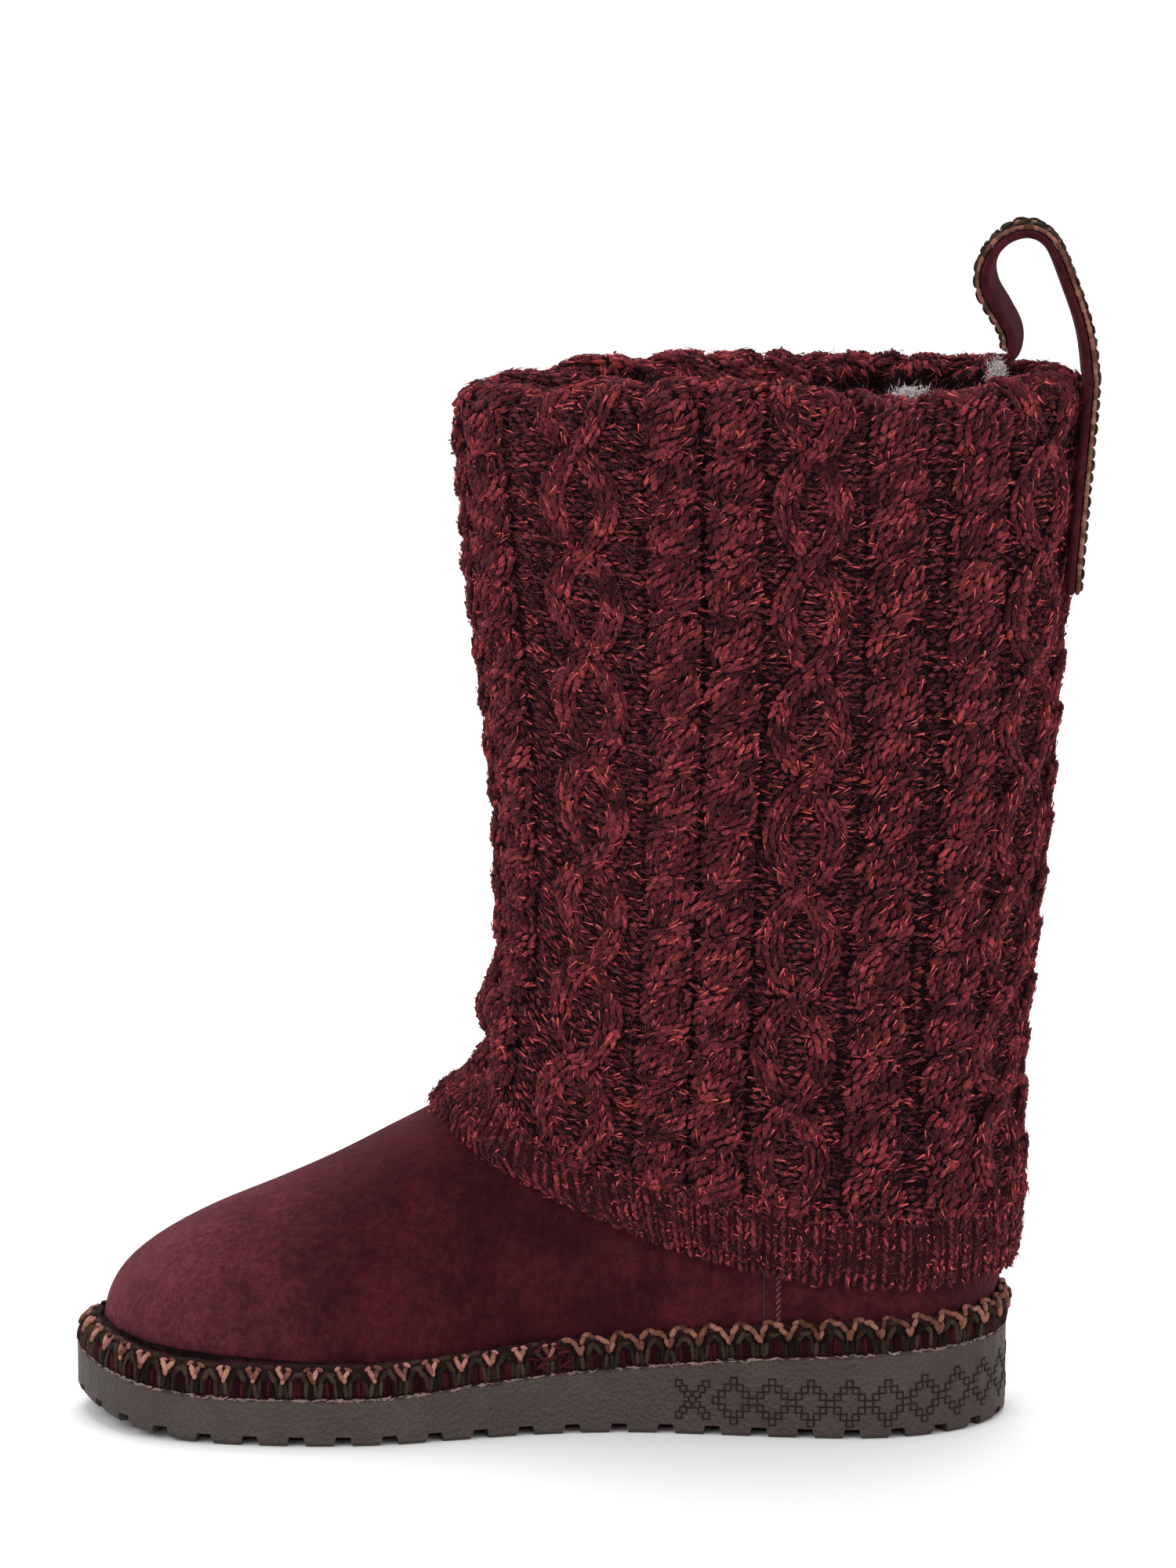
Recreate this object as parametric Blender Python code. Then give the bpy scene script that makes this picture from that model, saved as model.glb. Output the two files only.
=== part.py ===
"""A woman's slip-on boot for the right foot: suede foot, cable-knit sleeve, foam sole.

Run it with blender --background --python part.py, or from Blender's text editor.
Metres, +Z up. The toe points to -X, the heel to +X, and the foot's inner side
faces -Y. The origin is on the floor, under the middle of the sole's length.
"""
import math

import bmesh
import bpy
import numpy as np
from mathutils import Vector

# Fit between pieces
SEAT = 0.0003  # gap between two pieces that meet

# Sole
SOLE_LENGTH = 0.280
BALL_WIDTH = 0.100
HEEL_WIDTH = 0.077
FOREPART_THICKNESS = 0.0143
HEEL_THICKNESS = 0.0272
TOE_SPRING = 0.0062
TREAD_EDGE = 0.0014  # rounding of the sole's lower edge
TOP_EDGE = 0.0009  # rounding of the sole's upper edge

# Notches along the sole's lower edge
NOTCH_PITCH = 0.0139
NOTCH_BASE = 0.0062  # width at the floor
NOTCH_CROWN = 0.0043  # width at its top
NOTCH_HEIGHT = 0.0031
NOTCH_REACH = 0.0085  # how far it runs in under the sole

# Insole
INSOLE_THICKNESS = 0.0040
INSOLE_CLEARANCE = 0.0005

# Suede upper
WALL = 0.0030
TOE_LEDGE = 0.0080  # sole edge to upper, at the toe
HEEL_LEDGE = 0.0060
VAMP_HEIGHT = 0.0910  # floor to the vamp's ridge at the sleeve's hem
COUNTER_HEIGHT = 0.0465  # floor to the sleeve's hem at the back
COLLAR_HEIGHT = 0.3085
ANKLE_DEPTH = 0.1470  # front to back, at the narrowest row
COLLAR_DEPTH = 0.1715
SHAFT_WIDTH = 0.0716  # across the leg
SHAFT_BACK = 0.1370  # the heel tendon's line, from the sole's middle
CALF_LEAN = 0.0158  # how far the collar's back leans behind the tendon's line
HEEL_MIDDLE = 0.345  # middle of the heel, a share of the sole's length
FOOT_SWELL = 0.0030  # how far the foot swells out over its feather line
SWELL_HEIGHT = 0.0140  # above the sole, where it is fully swollen
SEAM_FROM_MIDDLE = 0.0690  # side seams, measured along the sole
SEAM_WIDTH = 0.0050
SEAM_RAISE = 0.0008

# Braid round the upper's foot
BRAID_HEIGHT = 0.0096
BRAID_CROWN = 0.0026  # thickness at its top
BRAID_INSET = 0.0005  # from the sole's edge
BRAID_CLEARANCE = 0.0005  # to the upper
STITCH_RAISE = 0.0009
BRAID_SHOULDER = 0.6  # height of its rounded shoulder, a share of its own
BRAID_ROUNDING = 0.3  # how far the shoulder leans in towards the crown

# Knitted sleeve
KNIT = 0.0056  # thickness in the gutters between the cables
CABLE_RAISE = 0.0014
RIB_THICKNESS = 0.0036  # at the hem
RIB_EASE = 0.0008  # how much the rib thins at its edge, and thickens to its top
TURN_IN = 0.0190  # how far the folded top runs down the inside
TURN_IN_THICKNESS = 0.0046
SLOUCH = 0.0024  # how far the ankle's slack folds stand out

# Pull loop
STRAP_WIDTH = 0.0200
STRAP_THICKNESS = 0.0028
RIBBON_WIDTH = 0.0170
RIBBON_THICKNESS = 0.0019
LOOP_RISE = 0.0420  # above the sleeve's folded top
STRAP_DROP = 0.0660  # down the back of the sleeve
STRAP_TAIL = 0.0150  # down the inside
STRAP_CLEARANCE = 0.0005

# The sole's outline: x as a share of its length, each side as a share of the
# half width there.
OUTLINE = (
    # x, inner, outer
    (-0.500, 0.000, 0.000),
    (-0.490, 0.240, 0.240),
    (-0.468, 0.500, 0.470),
    (-0.432, 0.745, 0.690),
    (-0.380, 0.885, 0.820),
    (-0.312, 0.965, 0.915),
    (-0.235, 1.000, 0.975),
    (-0.160, 0.965, 1.000),
    (-0.090, 0.860, 1.010),
    (0.000, 0.800, 1.000),
    (0.090, 0.845, 0.985),
    (0.175, 0.935, 0.965),
    (0.260, 1.025, 0.950),
    (0.345, 1.060, 0.920),
    (0.410, 0.945, 0.830),
    (0.455, 0.730, 0.660),
    (0.488, 0.400, 0.380),
    (0.500, 0.000, 0.000),
)

# The sole's top: share of the rise from forepart to heel thickness.
SOLE_RISE = (
    # x, rise
    (-0.50, 0.00),
    (-0.18, 0.00),
    (-0.11, 0.10),
    (-0.05, 0.21),
    (0.00, 0.31),
    (0.09, 0.44),
    (0.175, 0.63),
    (0.26, 0.79),
    (0.34, 0.88),
    (0.42, 0.95),
    (0.50, 1.00),
)
SPRING_START = -0.335  # where the toe begins to lift, a share of the length

# The vamp's ridge, from the toe to the leg. x is a share of the sole's length,
# height a share of VAMP_HEIGHT. The last rows lie inside the leg and only
# steer how fast the foot narrows below it.
RIDGE = (
    # x, height
    (-0.4755, 0.22),
    (-0.4740, 0.33),
    (-0.4625, 0.44),
    (-0.4357, 0.549),
    (-0.3750, 0.663),
    (-0.2857, 0.773),
    (-0.2000, 0.890),
    (-0.1214, 1.022),
    (-0.0857, 1.082),
    (-0.0464, 1.198),
    (-0.0280, 1.420),
    (0.0100, 1.800),
    (0.1500, 2.100),
    (0.5000, 2.200),
)

# Sections of the upper, from its feather line to the collar. Each is a ring
# that leans from a front point to a back point. Front and back x are shares of
# the sole's length for the foot rows. The leg rows give the front point as a
# share of the depth there, and the back point as a share of CALF_LEAN. Sag is
# how far the middle of the ring hangs, a share of the counter's height.
FOOT_ROWS = (
    # front_x, front_z of vamp, back_x, back_z of counter, sag
    (-0.4714, 0.235, 0.4786, 0.590, 0.00),
    (-0.4736, 0.330, 0.4840, 0.700, 0.17),
    (-0.4625, 0.440, 0.4875, 0.775, 0.24),
    (-0.4357, 0.549, 0.4904, 0.828, 0.28),
    (-0.3750, 0.663, 0.4929, 0.871, 0.32),
    (-0.2857, 0.773, 0.4943, 0.914, 0.345),
    (-0.2000, 0.890, 0.4950, 0.957, 0.365),
    (-0.1214, 1.022, 0.4957, 1.000, 0.365),
)
LEG_ROWS = (
    # front, depth share from ankle to collar, back, front_z, back_z, sag, width, leg
    (1.096, 0.00, 0.10, 0.0345, 0.0290, 0.32, 1.000, 0.12),
    (1.020, 0.00, 0.06, 0.0810, 0.0760, 0.26, 0.965, 0.38),
    (0.996, 0.00, 0.00, 0.1370, 0.1440, 0.17, 0.950, 0.72),
    (0.994, 0.05, 0.00, 0.2000, 0.2500, 0.08, 0.963, 0.92),
    (1.002, 0.18, 0.13, 0.2900, 0.3760, 0.03, 0.980, 1.00),
    (1.000, 0.40, 0.43, 0.4320, 0.5170, 0.00, 1.000, 1.00),
    (1.000, 0.66, 0.70, 0.6030, 0.6700, 0.00, 1.000, 1.00),
    (0.998, 0.86, 0.76, 0.7800, 0.8220, 0.00, 1.000, 1.00),
    (0.998, 0.97, 0.85, 0.9200, 0.9280, 0.00, 1.000, 1.00),
    (0.996, 1.00, 1.00, 1.0000, 1.0000, 0.00, 1.000, 1.00),
)
HEM_ROW = len(FOOT_ROWS) - 1
COLLAR_ROW = len(FOOT_ROWS) + len(LEG_ROWS) - 1
RIB_ROWS = ((0.0, -1.0), (0.12, 0.0), (0.55, 0.75))  # row above the hem, share of RIB_EASE
KNIT_ROWS = (8, 9, 10, 11, 13, 15, COLLAR_ROW)  # rows of the sleeve above its rib

# The pull loop between its inner and outer leg: x as a share of the span from
# leg to leg, height as a share of LOOP_RISE, twist in degrees.
LOOP = (
    # x, height, twist
    (0.00, 0.00, 0.0),
    (0.13, 0.13, 6.0),
    (0.14, 0.28, 10.0),
    (0.00, 0.44, 13.0),
    (-0.155, 0.60, 13.0),
    (-0.155, 0.77, 8.0),
    (0.03, 0.92, 4.0),
    (0.30, 0.975, 0.0),
    (0.54, 0.88, 0.0),
    (0.75, 0.60, 0.0),
    (0.925, 0.29, 0.0),
    (1.00, 0.00, 0.0),
)

OUTLINE_STEPS = 480  # fine steps from which the outline's points are read
FEATHER_STEPS = 360  # fine steps of the upper's lower edge
SIDE_COLUMNS = 16  # columns of the upper from its front to a side seam
SEAM_FLANK = 0.0006  # slope at each edge of a raised seam
TOE_CROWDING = 0.25  # how much closer the columns stand at the toe
SOLE_POINTS = 80  # points round the sole
LEG_ROUNDNESS = 2.15  # 2 is an ellipse, more is squarer
VAMP_ROUNDNESS = 2.35
FRONT_CLOSING = 400.0  # how close to its front a section of the vamp comes to its ridge
CREST_SHIFT = 0.004  # the vamp's ridge lies towards the inner side
SLOUCH_ROW = 10.0  # the row of the ankle's slack fold
SLOUCH_SPREAD = 0.7  # rows above and below it
NOTCH_PHASE = 0.72  # of the first notch past the toe, a share of a pitch
OVER_ANGLES = (50, 90, 130)  # degrees round the collar's rim, over the fold
UNDER_ANGLES = (120, 60)  # and back under it
RIBBON_START = 4  # steps of the strap's route that the ribbon leaves bare
BACK_REACH = 0.06  # arc share beside the heel that a strap's width may touch
BAND_CORNERS = (
    (-1.0, -0.6), (-0.94, -1.0), (0.94, -1.0), (1.0, -0.6),
    (1.0, 0.6), (0.94, 1.0), (-0.94, 1.0), (-1.0, 0.6),
)
PARTS = "slip_on_boot"
CUTTERS = "cutters"


def empty_scene():
    """Remove what an open file holds and make the two collections."""
    for thing in list(bpy.data.objects):
        bpy.data.objects.remove(thing)
    for label in (PARTS, CUTTERS):
        group = bpy.data.collections.new(label)
        bpy.context.scene.collection.children.link(group)


def hermite(places, values, at):
    """Cubic through the values, with slopes that never overshoot."""
    steps = np.diff(places)
    slopes = np.diff(values) / steps
    tangents = np.empty_like(values)
    tangents[0] = slopes[0]
    tangents[-1] = slopes[-1]
    for index in range(1, len(values) - 1):
        before = slopes[index - 1]
        after = slopes[index]
        if before * after <= 0.0:
            tangents[index] = 0.0
        else:
            tangents[index] = 2.0 * before * after / (before + after)
    at = np.clip(at, places[0], places[-1])
    cell = np.clip(np.searchsorted(places, at, side="right") - 1, 0, len(steps) - 1)
    t = (at - places[cell]) / steps[cell]
    blend = t * t * (3.0 - 2.0 * t)
    curve_in = t * (1.0 - t) ** 2 * steps[cell] * tangents[cell]
    curve_out = t * t * (t - 1.0) * steps[cell] * tangents[cell + 1]
    return values[cell] * (1.0 - blend) + values[cell + 1] * blend + curve_in + curve_out


def ease(value, low, high):
    """0 below low, 1 above high, and a soft step between them."""
    t = np.clip((value - low) / (high - low), 0.0, 1.0)
    return t * t * (3.0 - 2.0 * t)


def through(points, steps):
    """Catmull-Rom curve through the points, with the given steps to a span."""
    curve = []
    count = len(points)
    for index in range(count - 1):
        before = points[max(index - 1, 0)]
        start = points[index]
        end = points[index + 1]
        after = points[min(index + 2, count - 1)]
        for step in range(steps):
            t = step / steps
            curve.append(0.5 * (
                2.0 * start
                + (end - before) * t
                + (2.0 * before - 5.0 * start + 4.0 * end - after) * t ** 2
                + (3.0 * start - before - 3.0 * end + after) * t ** 3
            ))
    curve.append(points[-1])
    return np.array(curve)


def half_width(x):
    """Half of the sole's nominal width: the ball's ahead of the waist, then the heel's."""
    share = ease(x / SOLE_LENGTH, -0.12, 0.14)
    return 0.5 * (BALL_WIDTH * (1.0 - share) + HEEL_WIDTH * share)


def sole_edge():
    """The sole's outline as a closed line of fine points, from the toe's tip by
    the inner side to the heel and back by the outer side, with its arc shares."""
    inner = []
    outer = []
    for share, inner_side, outer_side in OUTLINE:
        x = share * SOLE_LENGTH
        inner.append((x, -inner_side * half_width(x)))
        outer.append((x, outer_side * half_width(x)))
    loop = np.array(inner + outer[-2:0:-1])
    wrapped = np.vstack((loop[-2:], loop, loop[:3]))
    line = through(wrapped, 24)[48:-48]
    lengths = np.hypot(*np.diff(line, axis=0).T)
    arc = np.concatenate(([0.0], np.cumsum(lengths)))
    places = np.linspace(0.0, arc[-1], OUTLINE_STEPS + 1)
    even = np.column_stack([np.interp(places, arc, line[:, axis]) for axis in (0, 1)])
    return even, arc[-1]


EDGE, EDGE_LENGTH = sole_edge()


def edge_point(share, inset):
    """A point at an arc share of the outline, moved in by inset along its normal."""
    share = np.asarray(share) % 1.0
    places = np.linspace(0.0, 1.0, OUTLINE_STEPS + 1)
    step = 3.0 / OUTLINE_STEPS

    def read(at):
        return np.column_stack([np.interp(at % 1.0, places, EDGE[:, axis]) for axis in (0, 1)])

    share = np.atleast_1d(share)
    along = read(share + step) - read(share - step)
    along /= np.hypot(along[:, 0], along[:, 1])[:, None]
    inward = np.column_stack((-along[:, 1], along[:, 0]))
    return read(share) + inward * np.asarray(inset).reshape(-1, 1)


def spring(x):
    """How far the toe lifts off the floor."""
    start = SPRING_START * SOLE_LENGTH
    reach = 0.5 * SOLE_LENGTH + start
    return TOE_SPRING * np.clip((start - x) / reach, 0.0, 1.2) ** 1.7


def sole_top(x):
    """Height of the sole's upper face."""
    places, rises = np.array(SOLE_RISE).T
    rise = hermite(places, rises, np.asarray(x) / SOLE_LENGTH)
    return FOREPART_THICKNESS + (HEEL_THICKNESS - FOREPART_THICKNESS) * rise + spring(x)


def ledge(x):
    """Width of the sole's ledge outside the upper."""
    return TOE_LEDGE + (HEEL_LEDGE - TOE_LEDGE) * ease(x / SOLE_LENGTH, -0.42, 0.30)


def ledge_point(share, more=0.0):
    """The feather line, or a line further in by more."""
    x = edge_point(share, 0.0)[:, 0]
    return edge_point(share, ledge(x) + more)


def section_rows():
    """The upper's rows in metres: front x and z, back x and z, sag, half width, leg share."""
    rows = []
    for front_x, front_z, back_x, back_z, sag in FOOT_ROWS:
        rows.append((
            front_x * SOLE_LENGTH,
            front_z * VAMP_HEIGHT,
            back_x * SOLE_LENGTH,
            back_z * COUNTER_HEIGHT,
            sag * COUNTER_HEIGHT,
            0.5 * SHAFT_WIDTH,
            0.0,
        ))
    for front, deeper, back, front_z, back_z, sag, width, leg in LEG_ROWS:
        depth = ANKLE_DEPTH + (COLLAR_DEPTH - ANKLE_DEPTH) * deeper
        back_x = SHAFT_BACK + CALF_LEAN * back
        rows.append((
            back_x - front * depth,
            VAMP_HEIGHT + front_z * (COLLAR_HEIGHT - VAMP_HEIGHT),
            back_x,
            COUNTER_HEIGHT + back_z * (COLLAR_HEIGHT - COUNTER_HEIGHT),
            sag * COUNTER_HEIGHT,
            0.5 * SHAFT_WIDTH * width,
            leg,
        ))
    return np.array(rows)


ROWS = section_rows()
ROW_PLACES = np.arange(len(ROWS), dtype=float)


def row_at(place):
    """The upper's section at a fractional row."""
    return [float(hermite(ROW_PLACES, ROWS[:, column], place)) for column in range(ROWS.shape[1])]


def arc_share_of_heel():
    """Arc share of the outline's rearmost point."""
    return float(np.argmax(EDGE[:, 0])) / OUTLINE_STEPS


HEEL_SHARE = arc_share_of_heel()
FEATHER_INNER = ledge_point(np.linspace(0.0, HEEL_SHARE, FEATHER_STEPS))
FEATHER_OUTER = ledge_point(np.linspace(1.0, HEEL_SHARE, FEATHER_STEPS))
TOE_X = FEATHER_INNER[0, 0]
HEEL_X = FEATHER_INNER[-1, 0]


def sides_at(x):
    """y of the feather line on the inner and the outer side at x."""
    inner = np.interp(x, FEATHER_INNER[:, 0], FEATHER_INNER[:, 1])
    outer = np.interp(x, FEATHER_OUTER[:, 0], FEATHER_OUTER[:, 1])
    return inner, outer


SHAFT_MIDDLE = 0.5 * float(sum(sides_at(HEEL_MIDDLE * SOLE_LENGTH)))


def upper_point(row, share):
    """Outer face of the upper at a fractional row and arc shares round the foot."""
    front_x, front_z, back_x, back_z, sag, width, leg = row_at(row)
    feather = ledge_point(share)
    along = np.clip((feather[:, 0] - TOE_X) / (HEEL_X - TOE_X), 0.0, 1.0)
    side = np.where(np.asarray(share) % 1.0 < HEEL_SHARE, -1.0, 1.0)

    settle = min(row, 1.0)
    x = feather[:, 0] * (1.0 - settle) + (front_x + (back_x - front_x) * along) * settle
    hang = front_z + (back_z - front_z) * along - 4.0 * sag * along * (1.0 - along)
    z = (sole_top(feather[:, 0]) + SEAT) * (1.0 - settle) + hang * settle

    foot = foot_side(row, x, z, along, side)
    round_leg = np.maximum(1.0 - np.abs(2.0 * along - 1.0) ** LEG_ROUNDNESS, 0.0)
    shaft = SHAFT_MIDDLE + side * width * np.sqrt(round_leg)
    y = feather[:, 1] * (1.0 - settle) + (foot * (1.0 - leg) + shaft * leg) * settle
    return np.column_stack((x, y, z))


def foot_side(row, x, z, along, side):
    """y of the foot's outer face: the feather line's, swollen a little above the
    sole, then rounded over towards the vamp's ridge."""
    front_x, _, back_x = row_at(row)[:3]
    low = sole_top(x) + SEAT
    up = np.clip((z - low) / np.maximum(ridge_at(x) - low, 0.001), 0.0, 1.0)
    ahead = max(TOE_X - front_x, 0.0) * (1.0 - ease(along, 0.0, 0.3))
    behind = (HEEL_X - back_x) * ease(along, 0.55, 0.95)
    inner, outer = sides_at(np.clip(x + ahead + behind, TOE_X, HEEL_X))
    wide = ease(outer - inner, 0.0, 0.6 * BALL_WIDTH)
    swell = FOOT_SWELL * wide * ease(z - low, 0.0, SWELL_HEIGHT)
    crest = 0.5 * (inner + outer) - CREST_SHIFT * wide * ease(-x / SOLE_LENGTH, 0.0, 0.3)
    edge = np.where(side < 0.0, inner - swell, outer + swell)
    over = np.sqrt(np.maximum(1.0 - up ** VAMP_ROUNDNESS, 0.0))
    over = over * np.sqrt(1.0 - (1.0 - along) ** FRONT_CLOSING)
    over = 1.0 - (1.0 - over) * min(max(row - 1.0, 0.0), 1.0)
    return crest + (edge - crest) * over


def ridge_at(x):
    """Height of the vamp's ridge line."""
    ridge_x, ridge_z = np.array(RIDGE).T
    return hermite(ridge_x * SOLE_LENGTH, ridge_z * VAMP_HEIGHT, x)


def outward(row, share):
    """Unit normals of the upper's outer face. They are level at the feather line."""
    share = np.asarray(share)
    low = max(row - 0.05, 0.0)
    high = min(row + 0.05, float(COLLAR_ROW))
    up = upper_point(high, share) - upper_point(low, share)
    turn = 0.003
    past = upper_point(row, share + turn) - upper_point(row, share - turn)
    normal = np.cross(past, up)
    normal[:, 2] *= min(row, 1.0)
    return normal / np.linalg.norm(normal, axis=1)[:, None]


def share_at_x(row, x, first, last):
    """Arc share, between two others, where the row's ring crosses x."""
    shares = np.linspace(first, last, 200)
    places = upper_point(row, shares)[:, 0]
    order = np.argsort(places)
    return float(np.interp(x, places[order], shares[order]))


def column_shares(row, seams=True):
    """Arc shares of the upper's columns on one row. They run from the toe by the
    inner side to the heel and back, spread evenly from front to seam and from
    seam to heel, so that the seams stand straight up the boot."""
    before = SEAM_FROM_MIDDLE - 0.5 * SEAM_WIDTH
    behind = SEAM_FROM_MIDDLE + 0.5 * SEAM_WIDTH
    band = (before - SEAM_FLANK, before, behind, behind + SEAM_FLANK)
    inner_band = [share_at_x(row, x, 0.0, HEEL_SHARE) for x in band]
    outer_band = [share_at_x(row, x, 1.0, HEEL_SHARE) for x in reversed(band)]
    even = np.arange(SIDE_COLUMNS) / SIDE_COLUMNS
    crowd = 1.0 + TOE_CROWDING * max(1.0 - row / HEM_ROW, 0.0)
    front_in = inner_band[0] * even ** crowd
    back_in = inner_band[3] + (HEEL_SHARE - inner_band[3]) * even[1:]
    back_out = HEEL_SHARE + (outer_band[0] - HEEL_SHARE) * even
    front_out = 1.0 - (1.0 - outer_band[3]) * (1.0 - even[1:]) ** crowd
    if not seams:
        inner_band = inner_band[:0]
        outer_band = outer_band[:0]
    return np.concatenate((front_in, inner_band, back_in, back_out, outer_band, front_out))


def column_flags():
    """For each column: how much of a cable's height it has, and of the seam's."""
    ridge = (0.0, 0.8, 1.0, 0.8)
    cable = [ridge[step % len(ridge)] for step in range(SIDE_COLUMNS)]
    seam_cable = [0.0, 0.0, 0.0, 0.0]
    seam_step = [0.0, 1.0, 1.0, 0.0]
    flat = [0.0] * SIDE_COLUMNS
    cables = cable + seam_cable + cable[1:] + cable + seam_cable + cable[1:]
    seams = flat + seam_step + flat[1:] + flat + seam_step + flat[1:]
    return np.array(cables), np.array(seams)


CABLE_FLAGS, SEAM_FLAGS = column_flags()


def face_at(row, off=0.0, seams=True):
    """One ring of points on the upper's outer face, moved out by off. The side
    seams stand proud of it between the braid and the sleeve's hem."""
    share = column_shares(row, seams)
    lift = np.zeros(len(share)) + off
    if seams:
        shown = ease(row, 4.0, 5.0) * (1.0 - ease(row, HEM_ROW + 0.5, HEM_ROW + 1.5))
        lift = lift + SEAM_RAISE * SEAM_FLAGS * float(shown)
    return upper_point(row, share) + outward(row, share) * lift[:, None]


def inner_face_at(row, off=0.0):
    """One ring of points on the upper's inner face, moved in by off."""
    share = column_shares(row)
    return upper_point(row, share) - outward(row, share) * (WALL + off)


def new_material(label, colour, roughness, metallic=0.0):
    """Principled material with a plain colour."""
    material = bpy.data.materials.new(label)
    material.use_nodes = True
    shader = material.node_tree.nodes["Principled BSDF"]
    shader.inputs["Base Color"].default_value = (*colour, 1.0)
    shader.inputs["Roughness"].default_value = roughness
    shader.inputs["Metallic"].default_value = metallic
    material.diffuse_color = (*colour, 1.0)
    return material


def new_object(label, mesh, material, group=PARTS):
    """Add the mesh as an object of its own, shaded smooth up to sharp edges."""
    thing = bpy.data.objects.new(label, mesh)
    bpy.data.collections[group].objects.link(thing)
    mesh.materials.append(material)
    mesh.shade_smooth()
    mesh.set_sharp_from_angle(angle=math.radians(40.0))
    return thing


def loft(label, rings, material, ends):
    """Join rings of equal count into a skin. With ends "round" the last ring
    meets the first. With "across" each end is closed by strips from side to
    side, and with "flat" by one face."""
    mesh = bpy.data.meshes.new(label)
    shape = bmesh.new()
    count = len(rings[0])
    points = [[shape.verts.new(Vector(point)) for point in ring] for ring in rings]
    pairs = list(zip(points, points[1:]))
    if ends == "round":
        pairs.append((points[-1], points[0]))
    for lower, upper in pairs:
        for index in range(count):
            after = (index + 1) % count
            shape.faces.new((lower[index], lower[after], upper[after], upper[index]))
    if ends == "flat":
        shape.faces.new(points[0])
        shape.faces.new(points[-1])
    if ends == "across":
        for ring in (points[0], points[-1]):
            close_across(shape, ring)
    bmesh.ops.triangulate(shape, faces=shape.faces)
    bmesh.ops.recalc_face_normals(shape, faces=shape.faces)
    shape.to_mesh(mesh)
    shape.free()
    return new_object(label, mesh, material)


def close_across(shape, ring):
    """Close a ring that starts at the toe with strips from the inner to the outer side."""
    count = len(ring)
    for index in range(count // 2):
        left = ring[index]
        left_after = ring[index + 1]
        right = ring[-index % count]
        right_after = ring[-index - 1]
        corners = []
        for corner in (left, left_after, right_after, right):
            if corner not in corners:
                corners.append(corner)
        if len(corners) > 2:
            shape.faces.new(corners)


def with_height(flat, height):
    """Give a ring of x and y its heights."""
    return np.column_stack((flat, height))


def make_outsole():
    """One-piece foam sole with notches along its lower edge."""
    share = np.concatenate((
        np.linspace(0.0, HEEL_SHARE, SOLE_POINTS // 2, endpoint=False),
        np.linspace(HEEL_SHARE, 1.0, SOLE_POINTS // 2, endpoint=False),
    ))
    under = edge_point(share, TREAD_EDGE)
    side = edge_point(share, 0.0)
    above = edge_point(share, TOP_EDGE)
    rings = (
        with_height(under, spring(under[:, 0])),
        with_height(side, spring(side[:, 0]) + TREAD_EDGE),
        with_height(side, sole_top(side[:, 0]) - TOP_EDGE),
        with_height(above, sole_top(above[:, 0])),
    )
    foam = new_material("sole_foam", (0.105, 0.085, 0.075), 0.75)
    sole = loft("outsole", rings, foam, "across")
    cut = sole.modifiers.new("edge notches", "BOOLEAN")
    cut.operation = "DIFFERENCE"
    cut.solver = "EXACT"
    cut.object = make_notch_cutters()
    return sole


def make_notch_cutters():
    """Tapered blocks, evenly spaced along the sole's lower edge."""
    count = round(EDGE_LENGTH / NOTCH_PITCH)
    below = 0.001
    outside = 0.002
    shape = bmesh.new()
    for index in range(count):
        share = (index + NOTCH_PHASE) / count
        outer = edge_point(share, -outside)[0]
        inner = edge_point(share, NOTCH_REACH)[0]
        middle = 0.5 * (outer + inner)
        inward = (inner - outer) / np.linalg.norm(inner - outer)
        floor = float(spring(np.array(0.5 * (middle[0] + outer[0]))))
        block = bmesh.ops.create_cube(shape, size=1.0)
        for corner in block["verts"]:
            at_top = corner.co.z > 0.0
            spread = NOTCH_CROWN if at_top else NOTCH_BASE
            along = corner.co.y * spread
            reach = corner.co.x * (NOTCH_REACH + outside)
            height = floor + NOTCH_HEIGHT if at_top else floor - below
            x = middle[0] + inward[0] * reach - inward[1] * along
            y = middle[1] + inward[1] * reach + inward[0] * along
            corner.co = Vector((x, y, height))
    bmesh.ops.recalc_face_normals(shape, faces=shape.faces)
    mesh = bpy.data.meshes.new("notch_blocks")
    shape.to_mesh(mesh)
    shape.free()
    plain = new_material("cutter", (0.5, 0.5, 0.5), 0.5)
    blocks = new_object("notch_blocks", mesh, plain, CUTTERS)
    blocks.hide_render = True
    blocks.display_type = "WIRE"
    return blocks


def make_insole():
    """Thin footbed that lies on the sole, inside the upper's wall."""
    share = column_shares(0.0)
    plan = ledge_point(share, WALL + INSOLE_CLEARANCE)
    low = sole_top(plan[:, 0]) + SEAT
    rings = (with_height(plan, low), with_height(plan, low + INSOLE_THICKNESS))
    felt = new_material("insole_felt", (0.30, 0.24, 0.22), 0.95)
    return loft("insole", rings, felt, "across")


def make_upper():
    """The suede boot under the knit: one wall from feather line to collar."""
    outer_rows = (0, 1, 2, 3, 4, 5, 6, 7, 8, 9, 10, 11, 13, 15, COLLAR_ROW)
    inner_rows = turn_in_rows() + (13, 11, 10, 9, 8, 7, 6, 4, 2, 1, 0)
    rings = [face_at(row) for row in outer_rows]
    rings += [inner_face_at(row) for row in inner_rows]
    suede = new_material("burgundy_suede", (0.090, 0.016, 0.026), 0.90)
    return loft("upper", rings, suede, "round")


def collar_turn(reach, angles):
    """Rings round the collar's rim, at a distance from the middle of its wall.
    An angle of 0 degrees faces out and one of 180 faces in."""
    share = column_shares(COLLAR_ROW)
    out = outward(COLLAR_ROW, share)
    middle = upper_point(COLLAR_ROW, share) - out * 0.5 * WALL
    rise = np.array((0.0, 0.0, 1.0))
    rings = []
    for angle in angles:
        turn = math.radians(angle)
        rings.append(middle + out * reach * math.cos(turn) + rise * reach * math.sin(turn))
    return rings


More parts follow.
